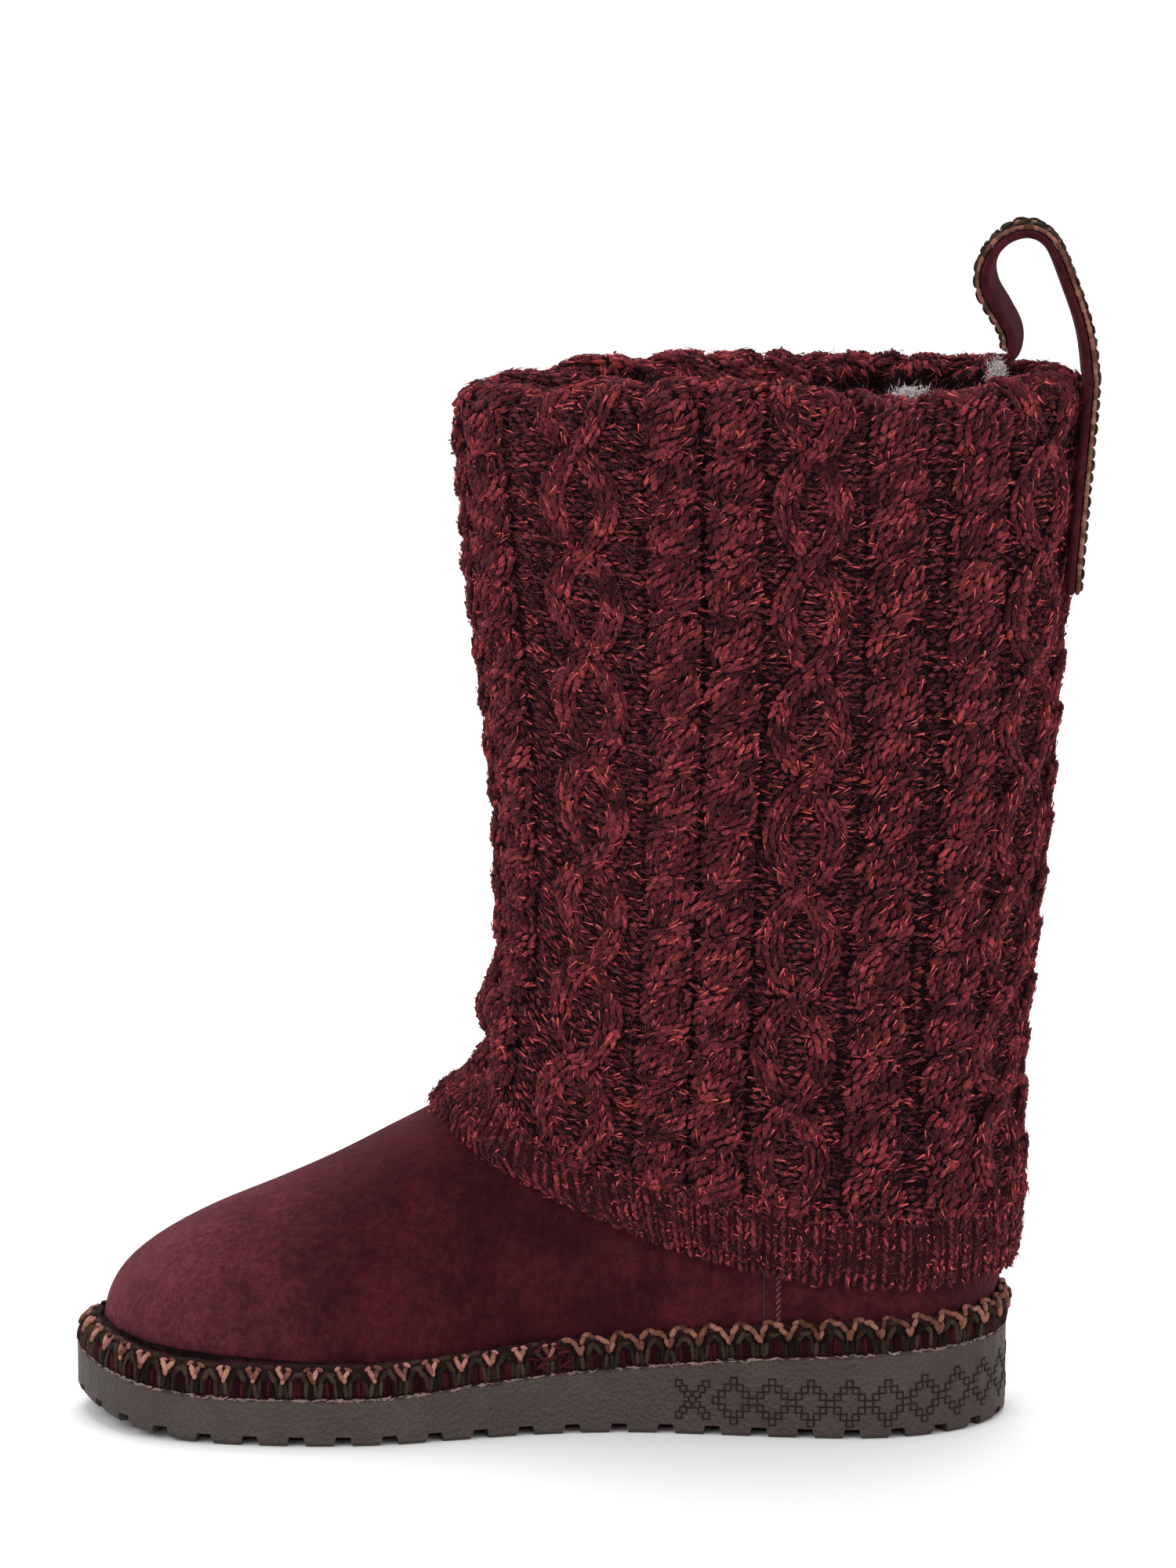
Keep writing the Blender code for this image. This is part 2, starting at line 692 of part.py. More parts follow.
def turn_in_rows():
    """First and last row of the sleeve's turned-in top."""
    row_height = COLLAR_HEIGHT - ROWS[-2, 1]
    return (COLLAR_ROW, COLLAR_ROW - TURN_IN / row_height)


def make_knit_sleeve():
    """Cable-knit sleeve, from its ribbed hem up over the collar and down inside."""
    under_rows = (COLLAR_ROW, 15, 13, 11, 10, 9, 8, HEM_ROW)
    rings = []
    for above, thicker in RIB_ROWS:
        rings.append(face_at(HEM_ROW + above, SEAT + RIB_THICKNESS + RIB_EASE * thicker))
    for row in KNIT_ROWS:
        front = 0.5 + 0.5 * np.cos(2.0 * math.pi * column_shares(row))
        fold = SLOUCH * front * math.exp(-((row - SLOUCH_ROW) / SLOUCH_SPREAD) ** 2)
        grown = float(ease(row, HEM_ROW, HEM_ROW + 2.0))
        knit = RIB_THICKNESS + (KNIT - RIB_THICKNESS) * grown
        rings.append(face_at(row, SEAT + knit + CABLE_RAISE * CABLE_FLAGS * grown + fold))
    fold_in = 0.5 * WALL + SEAT
    outer_turn = fold_in + TURN_IN_THICKNESS
    rings += collar_turn(outer_turn, OVER_ANGLES)
    down = turn_in_rows()
    rings += [inner_face_at(row, SEAT + TURN_IN_THICKNESS) for row in down]
    rings += [inner_face_at(row, SEAT) for row in reversed(down)]
    rings += collar_turn(fold_in, UNDER_ANGLES)
    rings += [face_at(row, SEAT) for row in under_rows]
    wool = new_material("marled_knit", (0.140, 0.028, 0.036), 0.95)
    return loft("knit_sleeve", rings, wool, "round")


def climbing_ring(height, off):
    """Ring on the upper's outer face at one height above the sole, moved out by off."""
    rows = range(HEM_ROW)
    rings = [face_at(row, off, seams=False) for row in rows]
    level = [face_at(row, 0.0, seams=False)[:, 2] for row in rows]
    stack = np.array(rings)
    heights = np.array(level)
    target = heights[0] + height
    ring = np.empty((stack.shape[1], 3))
    for column in range(stack.shape[1]):
        for axis in range(3):
            ring[column, axis] = np.interp(target[column], heights[:, column], stack[:, column, axis])
    return ring


def doubled(ring):
    """Add the midpoint between each two neighbours of a ring."""
    middles = 0.5 * (ring + np.roll(ring, -1, axis=0))
    return np.stack((ring, middles), axis=1).reshape(-1, ring.shape[1])


def make_welt_braid():
    """Crocheted braid that fills the sole's ledge round the foot. Every second
    point is a stitch that stands a little higher and further out."""
    share = column_shares(0.0, seams=False)
    edge = doubled(edge_point(share, BRAID_INSET))
    stitch = np.tile((0.0, STITCH_RAISE), len(share))
    low = sole_top(edge[:, 0]) + SEAT
    foot = doubled(climbing_ring(0.0, BRAID_CLEARANCE))
    foot[:, 2] = sole_top(foot[:, 0]) + SEAT
    waist = doubled(face_at(1, BRAID_CLEARANCE, seams=False))
    top = doubled(climbing_ring(BRAID_HEIGHT, BRAID_CLEARANCE))
    crown = doubled(climbing_ring(BRAID_HEIGHT, BRAID_CLEARANCE + BRAID_CROWN))
    crown[:, 2] = top[:, 2] + stitch
    shoulder = with_height(edge, low + BRAID_SHOULDER * BRAID_HEIGHT)
    shoulder[:, :2] += BRAID_ROUNDING * (crown[:, :2] - shoulder[:, :2])
    rings = (foot, with_height(edge, low), shoulder, crown, top, waist)
    yarn = new_material("braid_yarn", (0.200, 0.110, 0.080), 0.90)
    return loft("welt_braid", rings, yarn, "round")


def sleeve_line(inside):
    """Heights, and the x that a strap of the loop's width has to keep clear of
    there: the sleeve's back, or with inside, the face of its folded-in top."""
    heights = []
    limits = []
    for row in turn_in_rows()[::-1] if inside else KNIT_ROWS:
        if inside:
            ring = inner_face_at(row, SEAT + TURN_IN_THICKNESS)
        else:
            ring = face_at(row, SEAT + KNIT + CABLE_RAISE * CABLE_FLAGS)
        back = ring[np.abs(column_shares(row) - HEEL_SHARE) < BACK_REACH]
        back = back[np.argsort(back[:, 1])]
        across = SHAFT_MIDDLE + np.linspace(-0.5, 0.5, 21) * STRAP_WIDTH
        under_strap = np.interp(across, back[:, 1], back[:, 0])
        limits.append(under_strap.min() if inside else under_strap.max())
        heights.append(back[:, 2].mean())
    return np.array(heights), np.array(limits)


def strap_route():
    """Middle line of the strap in the plane of x and z, with its twist, from its
    tail inside the collar over the top and down the sleeve's back."""
    rim = COLLAR_HEIGHT + 0.5 * WALL + SEAT + TURN_IN_THICKNESS
    half = 0.5 * STRAP_THICKNESS
    inside_heights, inside_limits = sleeve_line(True)
    back_heights, back_limits = sleeve_line(False)
    leg = np.linspace(rim - STRAP_TAIL, rim, 7)
    inside_x = np.interp(leg, inside_heights, inside_limits).min() - STRAP_CLEARANCE - half
    outside_x = back_limits[-1] + STRAP_CLEARANCE + half
    tail = [(inside_x, rim - STRAP_TAIL, 0.0)]
    arch = []
    for x, height, twist in LOOP:
        arch.append((inside_x + x * (outside_x - inside_x), rim + height * LOOP_RISE, twist))
    end = rim - STRAP_DROP
    crossed = [z for z in back_heights[::-1] if end < z < rim - STRAP_THICKNESS]
    drop = []
    for z in crossed + [end]:
        drop.append((np.interp(z, back_heights, back_limits) + STRAP_CLEARANCE + half, z, 0.0))
    return through(np.array(tail + arch + drop), 2)


def band_sweep(label, route, off, width, thickness, material):
    """Flat band swept along the route, its middle line moved out by off."""
    rings = []
    steps = np.gradient(route[:, :2], axis=0)
    steps /= np.hypot(steps[:, 0], steps[:, 1])[:, None]
    for (x, z, twist), (along_x, along_z) in zip(route, steps):
        turn = math.radians(twist)
        out = np.array((-along_z, 0.0, along_x))
        across = np.array((0.0, 1.0, 0.0))
        turned_out = out * math.cos(turn) + across * math.sin(turn)
        turned_across = across * math.cos(turn) - out * math.sin(turn)
        middle = np.array((x, SHAFT_MIDDLE, z)) + turned_out * off
        corners = []
        for side, face in BAND_CORNERS:
            corners.append(middle + turned_across * side * 0.5 * width + turned_out * face * 0.5 * thickness)
        rings.append(np.array(corners))
    return loft(label, rings, material, "flat")


def make_pull_loop():
    """Suede strap that stands over the collar's back edge."""
    suede = new_material("strap_suede", (0.075, 0.014, 0.022), 0.90)
    return band_sweep("pull_loop", strap_route(), 0.0, STRAP_WIDTH, STRAP_THICKNESS, suede)


def make_loop_ribbon():
    """Woven ribbon along the strap's outer face."""
    off = 0.5 * STRAP_THICKNESS + SEAT + 0.5 * RIBBON_THICKNESS
    route = strap_route()[RIBBON_START:]
    ribbon = new_material("loop_ribbon", (0.330, 0.170, 0.120), 0.85)
    return band_sweep("loop_ribbon", route, off, RIBBON_WIDTH, RIBBON_THICKNESS, ribbon)


def main():
    """Build the boot from the floor up."""
    empty_scene()
    make_outsole()
    make_insole()
    make_upper()
    make_knit_sleeve()
    make_welt_braid()
    make_pull_loop()
    make_loop_ribbon()


main()
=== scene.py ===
"""Looks of a slip-on boot with a cable-knit sleeve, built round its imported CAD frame.

The toe points to -X, the foot's inner side faces -Y, and the floor is z = 0.
The script is laid out as an add-on and is run as a plain script.
"""
import math

import bmesh
import bpy
import numpy as np
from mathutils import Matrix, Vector
from mathutils.bvhtree import BVHTree


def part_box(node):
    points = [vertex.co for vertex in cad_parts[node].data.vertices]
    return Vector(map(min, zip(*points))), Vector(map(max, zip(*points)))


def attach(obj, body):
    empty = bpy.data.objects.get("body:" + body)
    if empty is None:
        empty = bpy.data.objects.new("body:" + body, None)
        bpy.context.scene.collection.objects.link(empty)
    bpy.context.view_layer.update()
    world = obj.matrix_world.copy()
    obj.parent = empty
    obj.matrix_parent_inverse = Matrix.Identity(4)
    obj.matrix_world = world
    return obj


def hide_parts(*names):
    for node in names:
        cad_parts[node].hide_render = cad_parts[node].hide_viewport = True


bl_info = {
    "name": "Knit boot looks",
    "version": (1, 0, 0),
    "blender": (4, 5, 0),
    "location": "3D View > Sidebar > Boot",
    "description": "Suede, cable knit, crocheted braid and foam sole for a slip-on boot",
    "category": "Object",
}

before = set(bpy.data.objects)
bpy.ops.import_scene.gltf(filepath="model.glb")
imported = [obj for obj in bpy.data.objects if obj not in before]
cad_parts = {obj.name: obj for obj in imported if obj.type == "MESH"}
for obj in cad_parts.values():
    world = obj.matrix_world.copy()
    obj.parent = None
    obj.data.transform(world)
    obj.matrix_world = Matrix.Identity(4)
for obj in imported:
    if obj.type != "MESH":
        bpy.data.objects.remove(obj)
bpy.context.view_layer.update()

MM = 0.001
STRAP_LOW, STRAP_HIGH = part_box("pull_loop")
LEG_Y = 0.5 * (STRAP_LOW.y + STRAP_HIGH.y)
LEG_X = 0.066  # the leg's own upright middle line
FOLD_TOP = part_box("knit_sleeve")[1].z  # highest point of the sleeve's fold
RIM = 0.3085  # height where the sleeve starts to fold over the collar
TURN_IN = 0.017  # how far the knit is followed down the inside

# The sleeve's columns from the front of the leg to its back: kind, and place
# as a share of half the way round.
COLUMNS = (
    ("rope", 0.000),
    ("rope", 0.088),
    ("oval", 0.232),
    ("rope", 0.366),
    ("rope", 0.456),
    ("oval", 0.566),
    ("rope", 0.684),
    ("rope", 0.800),
    ("oval", 0.900),
    ("rope", 1.000),
)
# For each kind: swing to each side, rows between crossings, half width of a
# strand, all in millimetres but the rows.
CABLES = {"rope": (4.2, 6.0, 4.6), "oval": (8.4, 12.0, 3.8)}
CABLE_ROWS = 96.0  # rows from the hem to the rim
FIRST_CROSSING = 16.5  # rows below the rim
RIB_ROWS = 7.0  # rows of the ribbed hem
RIB_PITCH = 4.7  # millimetres
ROW_PAST_RIM = 2.5 * MM  # height of a row past the rim
LAST_ROW = -15.0  # where the knit's skin ends inside the collar
SKIN_COLUMNS = 248
SKIN_ROWS = 122
SKIN_BACK_ROWS = 12
# Millimetres over the sleeve's smooth face: the purl ground, and a strand's
# rise over its own edge, what it gains on top of a crossing, and its sinking.
GROUND = -1.5
STRAND_RISE = 2.6
CROSSING_LIFT = 0.8
STRAND_SINK = 1.85

# The pull loop's middle line, from its tail inside the collar over the top and
# down the sleeve's back: x, z, and the strap's twist in degrees.
STRAP_ROUTE = (
    (0.1362, 0.2999, 3.0),
    (0.1362, 0.3149, 6.0),
    (0.1394, 0.3204, 10.0),
    (0.1396, 0.3267, 12.0),
    (0.1362, 0.3334, 13.0),
    (0.1324, 0.3401, 13.0),
    (0.1324, 0.3472, 8.0),
    (0.1369, 0.3535, 4.0),
    (0.1436, 0.3558, 0.0),
    (0.1495, 0.3519, 0.0),
    (0.1546, 0.3401, 0.0),
    (0.1590, 0.3271, 0.0),
    (0.1608, 0.3149, 0.0),
    (0.1608, 0.3078, 0.0),
    (0.1571, 0.2617, 0.0),
    (0.1563, 0.2489, 0.0),
)
STRAP_THICKNESS = 2.8 * MM
STRAP_WIDTH = 20.0 * MM
RIBBON_WIDTH = 17.0 * MM
RIBBON_START = 14  # points of the strap's line that the ribbon leaves bare

# One repeat of the welt's braid, in millimetres: yarn, then each leg's two
# ends along the welt and up the braid, and its width.
BRAID_PITCH = 8.9
BRAID_JOIN = 0.003  # x where the front's pattern gives way to the heel's
LOOSE_THREADS = 34  # where the braid's ends meet
GLUE_SPECKS = 620  # of the pale line under the braid
BRAID_BASE = (
    ("wine", 3.3, 0.3, 3.4, 4.6, 1.5),
    ("wine", 4.55, 0.2, 4.55, 4.9, 1.5),
    ("wine", 5.8, 0.3, 5.7, 4.6, 1.5),
    ("olive", 2.0, 0.2, 2.5, 4.9, 1.6),
    ("olive", 2.3, 4.5, 4.3, 7.3, 1.8),
    ("olive", 7.1, 0.2, 6.6, 4.9, 1.6),
    ("olive", 6.8, 4.5, 4.8, 7.3, 1.8),
    ("olive", -0.9, 0.2, -0.6, 3.9, 1.7),
    ("olive", 0.9, 0.2, 0.6, 3.9, 1.7),
    ("olive", 3.0, 6.6, 6.1, 6.8, 1.6),
    ("olive", 2.8, 8.6, 6.3, 8.8, 1.8),
)
BRAID_FRONT = (
    ("peach", -0.1, 5.2, -1.4, 7.8, 1.7),
    ("peach", 0.1, 5.2, 1.4, 7.8, 1.7),
    ("peach", -1.0, 8.3, -2.2, 7.6, 1.4),
    ("peach", 1.0, 8.3, 2.2, 7.6, 1.4),
    ("peach", 0.0, 4.5, 0.0, 5.4, 1.5),
)
BRAID_HEEL = (
    ("peach", -4.4, 8.6, -2.4, 8.2, 1.8),
    ("peach", -2.6, 8.4, -0.8, 6.7, 1.8),
    ("peach", -1.0, 6.9, 0.0, 5.0, 1.8),
    ("peach", 0.0, 5.0, 0.8, 7.2, 1.8),
    ("peach", 0.7, 6.9, 1.7, 9.2, 1.8),
    ("peach", 1.5, 9.2, 3.2, 9.9, 1.8),
    ("peach", 2.9, 9.9, 4.6, 8.6, 1.8),
)

# The chain of diamonds round the heel.
DIAMOND_START = 0.0572  # x of the first whole diamond on either side
DIAMOND_PITCH = 11.5 * MM
DIAMOND_HEIGHT = 11.0 * MM  # of its middle line over the floor
DIAMOND_STEP = 2.03 * MM  # up, between two squares
DIAMOND_STEPS = 6.35  # of squares, along the sole, to one diamond's pitch
HEEL_LIFT = 2.5 * MM  # how far the chain climbs round the heel
HALF_DIAMOND_GAP = 12.4 * MM  # from the first diamond to the cross before it
SQUARE = 1.9 * MM

RNG = np.random.default_rng(20)


def srgb(red, green, blue):
    """Linear colour of screen values from 0 to 255."""
    values = []
    for part in (red, green, blue):
        share = part / 255.0
        values.append(share / 12.92 if share <= 0.04045 else ((share + 0.055) / 1.055) ** 2.4)
    return (*values, 1.0)


def ease(value, low, high):
    """0 below low, 1 above high, and a soft step between them."""
    t = np.clip((value - low) / (high - low), 0.0, 1.0)
    return t * t * (3.0 - 2.0 * t)


def unit(vectors):
    """Vectors of length one."""
    return vectors / np.maximum(np.linalg.norm(vectors, axis=-1), 1e-9)[..., None]


def level_way(angle):
    """Level direction at an angle round the boot: 0 is the toe's side, and a
    quarter turn on is the inner side."""
    return np.array((-math.cos(angle), -math.sin(angle), 0.0))


def arc_of(points):
    """Distance along a line of points, at each of them."""
    steps = np.linalg.norm(np.diff(points, axis=0), axis=1)
    return np.concatenate(([0.0], np.cumsum(steps)))


def along_line(distances, arc, points):
    """Points of a line at the given distances along it."""
    return np.column_stack([np.interp(distances, arc, column) for column in points.T])


def between(before, start, end, after, t):
    """Point of the Catmull-Rom curve from start to end."""
    return 0.5 * (
        2.0 * start + (end - before) * t
        + (2.0 * before - 5.0 * start + 4.0 * end - after) * t ** 2
        + (3.0 * start - before - 3.0 * end + after) * t ** 3
    )


# Materials


class Finish:
    """A Principled material, with short ways to add nodes to it."""

    def __init__(self, label, roughness, sheen=0.0, sheen_colour=(1.0, 1.0, 1.0, 1.0), specular=0.3):
        self.material = bpy.data.materials.new(label)
        self.material.use_nodes = True
        self.nodes = self.material.node_tree.nodes
        self.links = self.material.node_tree.links
        self.shader = self.nodes["Principled BSDF"]
        self.shader.inputs["Roughness"].default_value = roughness
        self.shader.inputs["Specular IOR Level"].default_value = specular
        self.shader.inputs["Sheen Weight"].default_value = sheen
        self.shader.inputs["Sheen Roughness"].default_value = 0.45
        self.shader.inputs["Sheen Tint"].default_value = sheen_colour
        self.place = self.nodes.new("ShaderNodeTexCoord").outputs["Object"]

    def noise(self, scale, detail=2.0, roughness=0.5, stretch=None):
        """Noise in metres of the object's own space."""
        node = self.nodes.new("ShaderNodeTexNoise")
        node.inputs["Scale"].default_value = scale
        node.inputs["Detail"].default_value = detail
        node.inputs["Roughness"].default_value = roughness
        place = self.place
        if stretch is not None:
            turn = self.nodes.new("ShaderNodeMapping")
            turn.inputs["Scale"].default_value = stretch
            self.links.new(place, turn.inputs["Vector"])
            place = turn.outputs["Vector"]
        self.links.new(place, node.inputs["Vector"])
        return node.outputs["Fac"]

    def toeward(self, start, end):
        """0 behind start, 1 at end and beyond: how near the toe a point is."""
        split = self.nodes.new("ShaderNodeSeparateXYZ")
        self.links.new(self.place, split.inputs["Vector"])
        node = self.nodes.new("ShaderNodeMapRange")
        node.inputs["From Min"].default_value = start
        node.inputs["From Max"].default_value = end
        self.links.new(split.outputs["X"], node.inputs["Value"])
        return node.outputs["Result"]

    def cells(self, scale):
        """Distance to the nearest cell point."""
        node = self.nodes.new("ShaderNodeTexVoronoi")
        node.inputs["Scale"].default_value = scale
        self.links.new(self.place, node.inputs["Vector"])
        return node.outputs["Distance"]

    def attribute(self, name):
        """A number kept on the mesh."""
        node = self.nodes.new("ShaderNodeAttribute")
        node.attribute_name = name
        return node.outputs["Fac"]

    def ramp(self, factor, stops):
        """Colour from a number, through (place, colour) stops."""
        node = self.nodes.new("ShaderNodeValToRGB")
        points = node.color_ramp.elements
        while len(points) < len(stops):
            points.new(0.5)
        for point, (place, colour) in zip(points, stops):
            point.position = place
            point.color = colour
        self.links.new(factor, node.inputs["Fac"])
        return node.outputs["Color"]

    def feed(self, socket, value):
        """Link an output to a socket, or set the socket's plain value."""
        if isinstance(value, bpy.types.NodeSocket):
            self.links.new(value, socket)
        else:
            socket.default_value = value

    def mix(self, factor, one, other, way="MIX"):
        """Blend two colours. Factor, one and other are outputs or plain values."""
        node = self.nodes.new("ShaderNodeMix")
        node.data_type = "RGBA"
        node.blend_type = way
        for number, value in ((0, factor), (6, one), (7, other)):
            self.feed(node.inputs[number], value)
        return node.outputs[2]

    def sum(self, one, other, operation="ADD"):
        """Sum, or another operation, of two numbers."""
        node = self.nodes.new("ShaderNodeMath")
        node.operation = operation
        for socket, value in zip(node.inputs, (one, other)):
            self.feed(socket, value)
        return node.outputs[0]

    def colour(self, output):
        """Set the base colour."""
        self.links.new(output, self.shader.inputs["Base Color"])

    def roughness(self, output):
        """Set the roughness."""
        self.links.new(output, self.shader.inputs["Roughness"])

    def bump(self, height, distance, strength=1.0):
        """Small relief, distance in metres."""
        node = self.nodes.new("ShaderNodeBump")
        node.inputs["Distance"].default_value = distance
        node.inputs["Strength"].default_value = strength
        self.links.new(height, node.inputs["Height"])
        self.links.new(node.outputs["Normal"], self.shader.inputs["Normal"])


def foam_finish(looks):
    """Moulded foam rubber with a fine grain."""
    foam = Finish("grained_foam", 0.62, specular=0.3)
    grain = foam.noise(1000.0, 3.0, 0.6)
    cells = foam.cells(760.0)
    patch = foam.noise(60.0, 3.0)
    base = looks.foam[:3]
    dark = (*[0.85 * c for c in base], 1.0)
    pale = (*[1.12 * c for c in base], 1.0)
    shade = foam.ramp(patch, ((0.30, dark), (0.70, pale)))
    shade = foam.mix(foam.toeward(-0.01, 0.06), shade, (0.95, 0.86, 0.86, 1.0), "MULTIPLY")
    specks = foam.ramp(grain, ((0.35, srgb(40, 34, 31)), (0.65, srgb(120, 108, 100))))
    foam.colour(foam.mix(0.3, shade, specks, "OVERLAY"))
    foam.roughness(foam.sum(0.5, foam.sum(grain, 0.25, "MULTIPLY")))
    foam.bump(foam.sum(grain, foam.sum(cells, 0.9, "MULTIPLY")), 0.0008, 0.9)
    return foam.material


def suede_finish(label, colour, nap, light=1.0):
    """Brushed microsuede: a mottled nap, with painted shade over the instep and a painted highlight, paler
    and pinker, towards the toe.
    """
    suede = Finish(label, 0.95, 0.35, nap, specular=0.08)
    fibres = suede.noise(2400.0, 3.0, 0.65)
    strokes = suede.noise(430.0, 4.0, 0.62, (1.0, 1.6, 0.8))
    clouds = suede.noise(42.0, 4.0, 0.6)
    deep = (*[0.55 * c * light for c in colour[:3]], 1.0)
    pale = (*[1.6 * c * light for c in colour[:3]], 1.0)
    base = suede.ramp(clouds, ((0.32, deep), (0.70, pale)))
    # Painted shade: the suede over the instep is darkened where the brushed nap looks darker in the light.
    instep_shade = suede.sum(suede.toeward(0.060, 0.010), suede.toeward(-0.085, -0.030), "MULTIPLY")
    base = suede.mix(instep_shade, base, (0.66, 0.58, 0.60, 1.0), "MULTIPLY")
    # Painted highlight: the toe's nap is paler and pinker where the key light falls on it.
    toe_highlight = suede.sum(suede.toeward(-0.055, -0.135), suede.sum(clouds, 0.9, "MULTIPLY"), "MULTIPLY")
    base = suede.mix(toe_highlight, base, srgb(104, 54, 62))
    flecks = suede.ramp(strokes, ((0.32, (0.5, 0.47, 0.47, 1.0)), (0.70, (1.6, 1.5, 1.5, 1.0))))
    base = suede.mix(0.7, base, flecks, "MULTIPLY")
    tips = suede.ramp(fibres, ((0.35, (0.5, 0.48, 0.48, 1.0)), (0.68, (1.6, 1.55, 1.55, 1.0))))
    suede.colour(suede.mix(0.8, base, tips, "MULTIPLY"))
    suede.bump(suede.sum(fibres, suede.sum(strokes, 1.2, "MULTIPLY")), 0.00045, 0.9)
    return suede.material


def yarn_finish(label, stops, sheen_colour, marl=0.6, sheen=0.22):
    """Soft spun yarn. Its colour comes from the tint kept on each stitch."""
    yarn = Finish(label, 0.95, sheen, sheen_colour, specular=0.06)
    tint = yarn.attribute("tint")
    ply = yarn.noise(1300.0, 3.0, 0.65)
    shifted = yarn.sum(tint, yarn.sum(yarn.sum(ply, 0.5, "SUBTRACT"), marl, "MULTIPLY"))
    yarn.colour(yarn.ramp(shifted, stops))
    yarn.bump(yarn.noise(3200.0, 3.0, 0.6), 0.0003, 0.8)
    return yarn.material


def fleece_finish(label):
    """Curly pale pile."""
    pile = Finish(label, 0.95, 0.6, srgb(235, 228, 226), specular=0.1)
    curls = pile.cells(420.0)
    soft = pile.noise(700.0, 3.0, 0.6)
    depth = pile.sum(curls, soft, "MULTIPLY")
    pile.colour(pile.ramp(depth, ((0.05, srgb(214, 204, 202)), (0.45, srgb(150, 136, 134)))))
    pile.bump(pile.sum(curls, pile.sum(soft, 0.5, "MULTIPLY")), 0.0016, 1.0)
    return pile.material


# Soft troughs of the suede, in metres: where each one's middle lies, the way it
# runs, how long and wide it is, and how deep. Shallow ones are a nap's dents.
CREASES = (
    ((-0.038, -0.040, 0.060), (0.55, 0.0, -0.85), 0.020, 0.0050, 0.0009),
    ((-0.016, -0.044, 0.052), (0.35, 0.0, -0.95), 0.017, 0.0045, 0.0008),
    ((0.048, -0.041, 0.038), (0.98, 0.0, -0.20), 0.016, 0.0040, 0.0006),
    ((0.098, -0.040, 0.038), (0.99, 0.0, 0.10), 0.018, 0.0042, 0.0007),
    ((-0.090, -0.034, 0.045), (0.90, 0.0, 0.44), 0.022, 0.0080, 0.0007),
    ((0.066, -0.042, 0.044), (0.0, 0.0, 1.0), 0.018, 0.0024, 0.0010),
)


# How far the empty leg's soft front is drawn in: height in metres, millimetres.
SLOUCH = (
    (0.086, 0.0),
    (0.102, 2.6),
    (0.136, 5.0),
    (0.155, 5.6),
    (0.180, 6.2),
    (0.210, 5.6),
    (0.240, 4.4),
    (0.270, 3.0),
    (0.292, 1.2),
    (0.304, 0.0),
)
# The slack roll over the ankle: how far it stands out in millimetres, its
# height and its reach up and down.
ROLL = 4.2
ROLL_HEIGHT = 0.1255
ROLL_REACH = 0.0080
# How far the rim droops, in millimetres: on the inner side near the back, in
# front, more on the front's inner side, and more again at the very front.
SIDE_DROOP = 5.0
SIDE_DROOP_X = 0.108
SIDE_DROOP_REACH = 0.028
FRONT_DROOP = 5.2
INNER_EXTRA = 0.8
CORNER_EXTRA = 1.5
DROOP_TOP = 0.309  # height where the droop is full


def settled(points):
    """Let the soft leg settle: its rim droops in front and on its inner side
    near the back, its front is drawn in, and a slack roll lies over the ankle."""
    x, y, z = points[..., 0], points[..., 1], points[..., 2]
    near = ease(-y, 0.004, 0.028) * np.exp(-(((x - SIDE_DROOP_X) / SIDE_DROOP_REACH) ** 2))
    front = (FRONT_DROOP + INNER_EXTRA * ease(-y, -0.010, 0.020)) * ease(-x, -0.030, 0.026)
    front = front + CORNER_EXTRA * ease(-x, 0.014, 0.027)
    heights, steps = np.array(SLOUCH).T
    drawn = np.interp(z, heights, steps) * ease(LEG_X - x, 0.0, 0.060)
    drawn -= ROLL * np.exp(-(((z - ROLL_HEIGHT) / ROLL_REACH) ** 2)) * ease(-x, -0.010, 0.012)
    low = points.copy()
    low[..., 0] = x + drawn * MM * (z > SLOUCH[0][0])
    low[..., 2] = z - SIDE_DROOP * near * MM * ease(z, 0.270, DROOP_TOP)
    low[..., 2] -= front * MM * ease(z, 0.240, DROOP_TOP)
    return low


def crease(mesh):
    """Press the soft troughs into the suede, on both sides of the foot."""
    count = len(mesh.vertices)
    points = np.empty(count * 3)
    mesh.vertices.foreach_get("co", points)
    points = points.reshape(-1, 3)
    normals = np.empty(count * 3)
    mesh.vertices.foreach_get("normal", normals)
    normals = normals.reshape(-1, 3)
    drop = np.zeros(count)
    for middle, way, long, wide, deep in CREASES:
        way = unit(np.array(way))
        for side in (1.0, -0.9):
            gap = points - np.array(middle) * (1.0, side, 1.0)
            run = gap @ way
            off = np.linalg.norm(gap * (1.0, 0.35, 1.0) - run[:, None] * way, axis=1)
            drop += deep * np.exp(-((run / long) ** 2) - (off / wide) ** 2)
            drop -= 0.5 * deep * np.exp(-((run / long) ** 2) - ((off - 1.9 * wide) / wide) ** 2)
    points = settled(points - normals * drop[:, None])
    mesh.vertices.foreach_set("co", points.reshape(-1))
    mesh.update()


def plain_finish(label, dark, pale, scale, roughness=0.9, sheen=0.3):
    """A two-tone surface with a fine relief."""
    plain = Finish(label, roughness, sheen, specular=0.15)
    speck = plain.noise(scale, 4.0, 0.6)
    plain.colour(plain.ramp(speck, ((0.3, dark), (0.7, pale))))
    plain.bump(plain.noise(2.2 * scale, 3.0, 0.6), 0.0004, 0.7)
    return plain.material


# Meshes and node trees


def added(label, data):
    """A new object in the scene that holds a mesh, a lamp or a camera."""
    thing = bpy.data.objects.new(label, data)
    bpy.context.scene.collection.objects.link(thing)
    return thing


def link_mesh(label, points, faces, material):
    """A new object at the origin from points and faces."""
    mesh = bpy.data.meshes.new(label)
    mesh.from_pydata([tuple(point) for point in points], [], faces)
    mesh.materials.append(material)
    mesh.shade_smooth()
    return added(label, mesh)


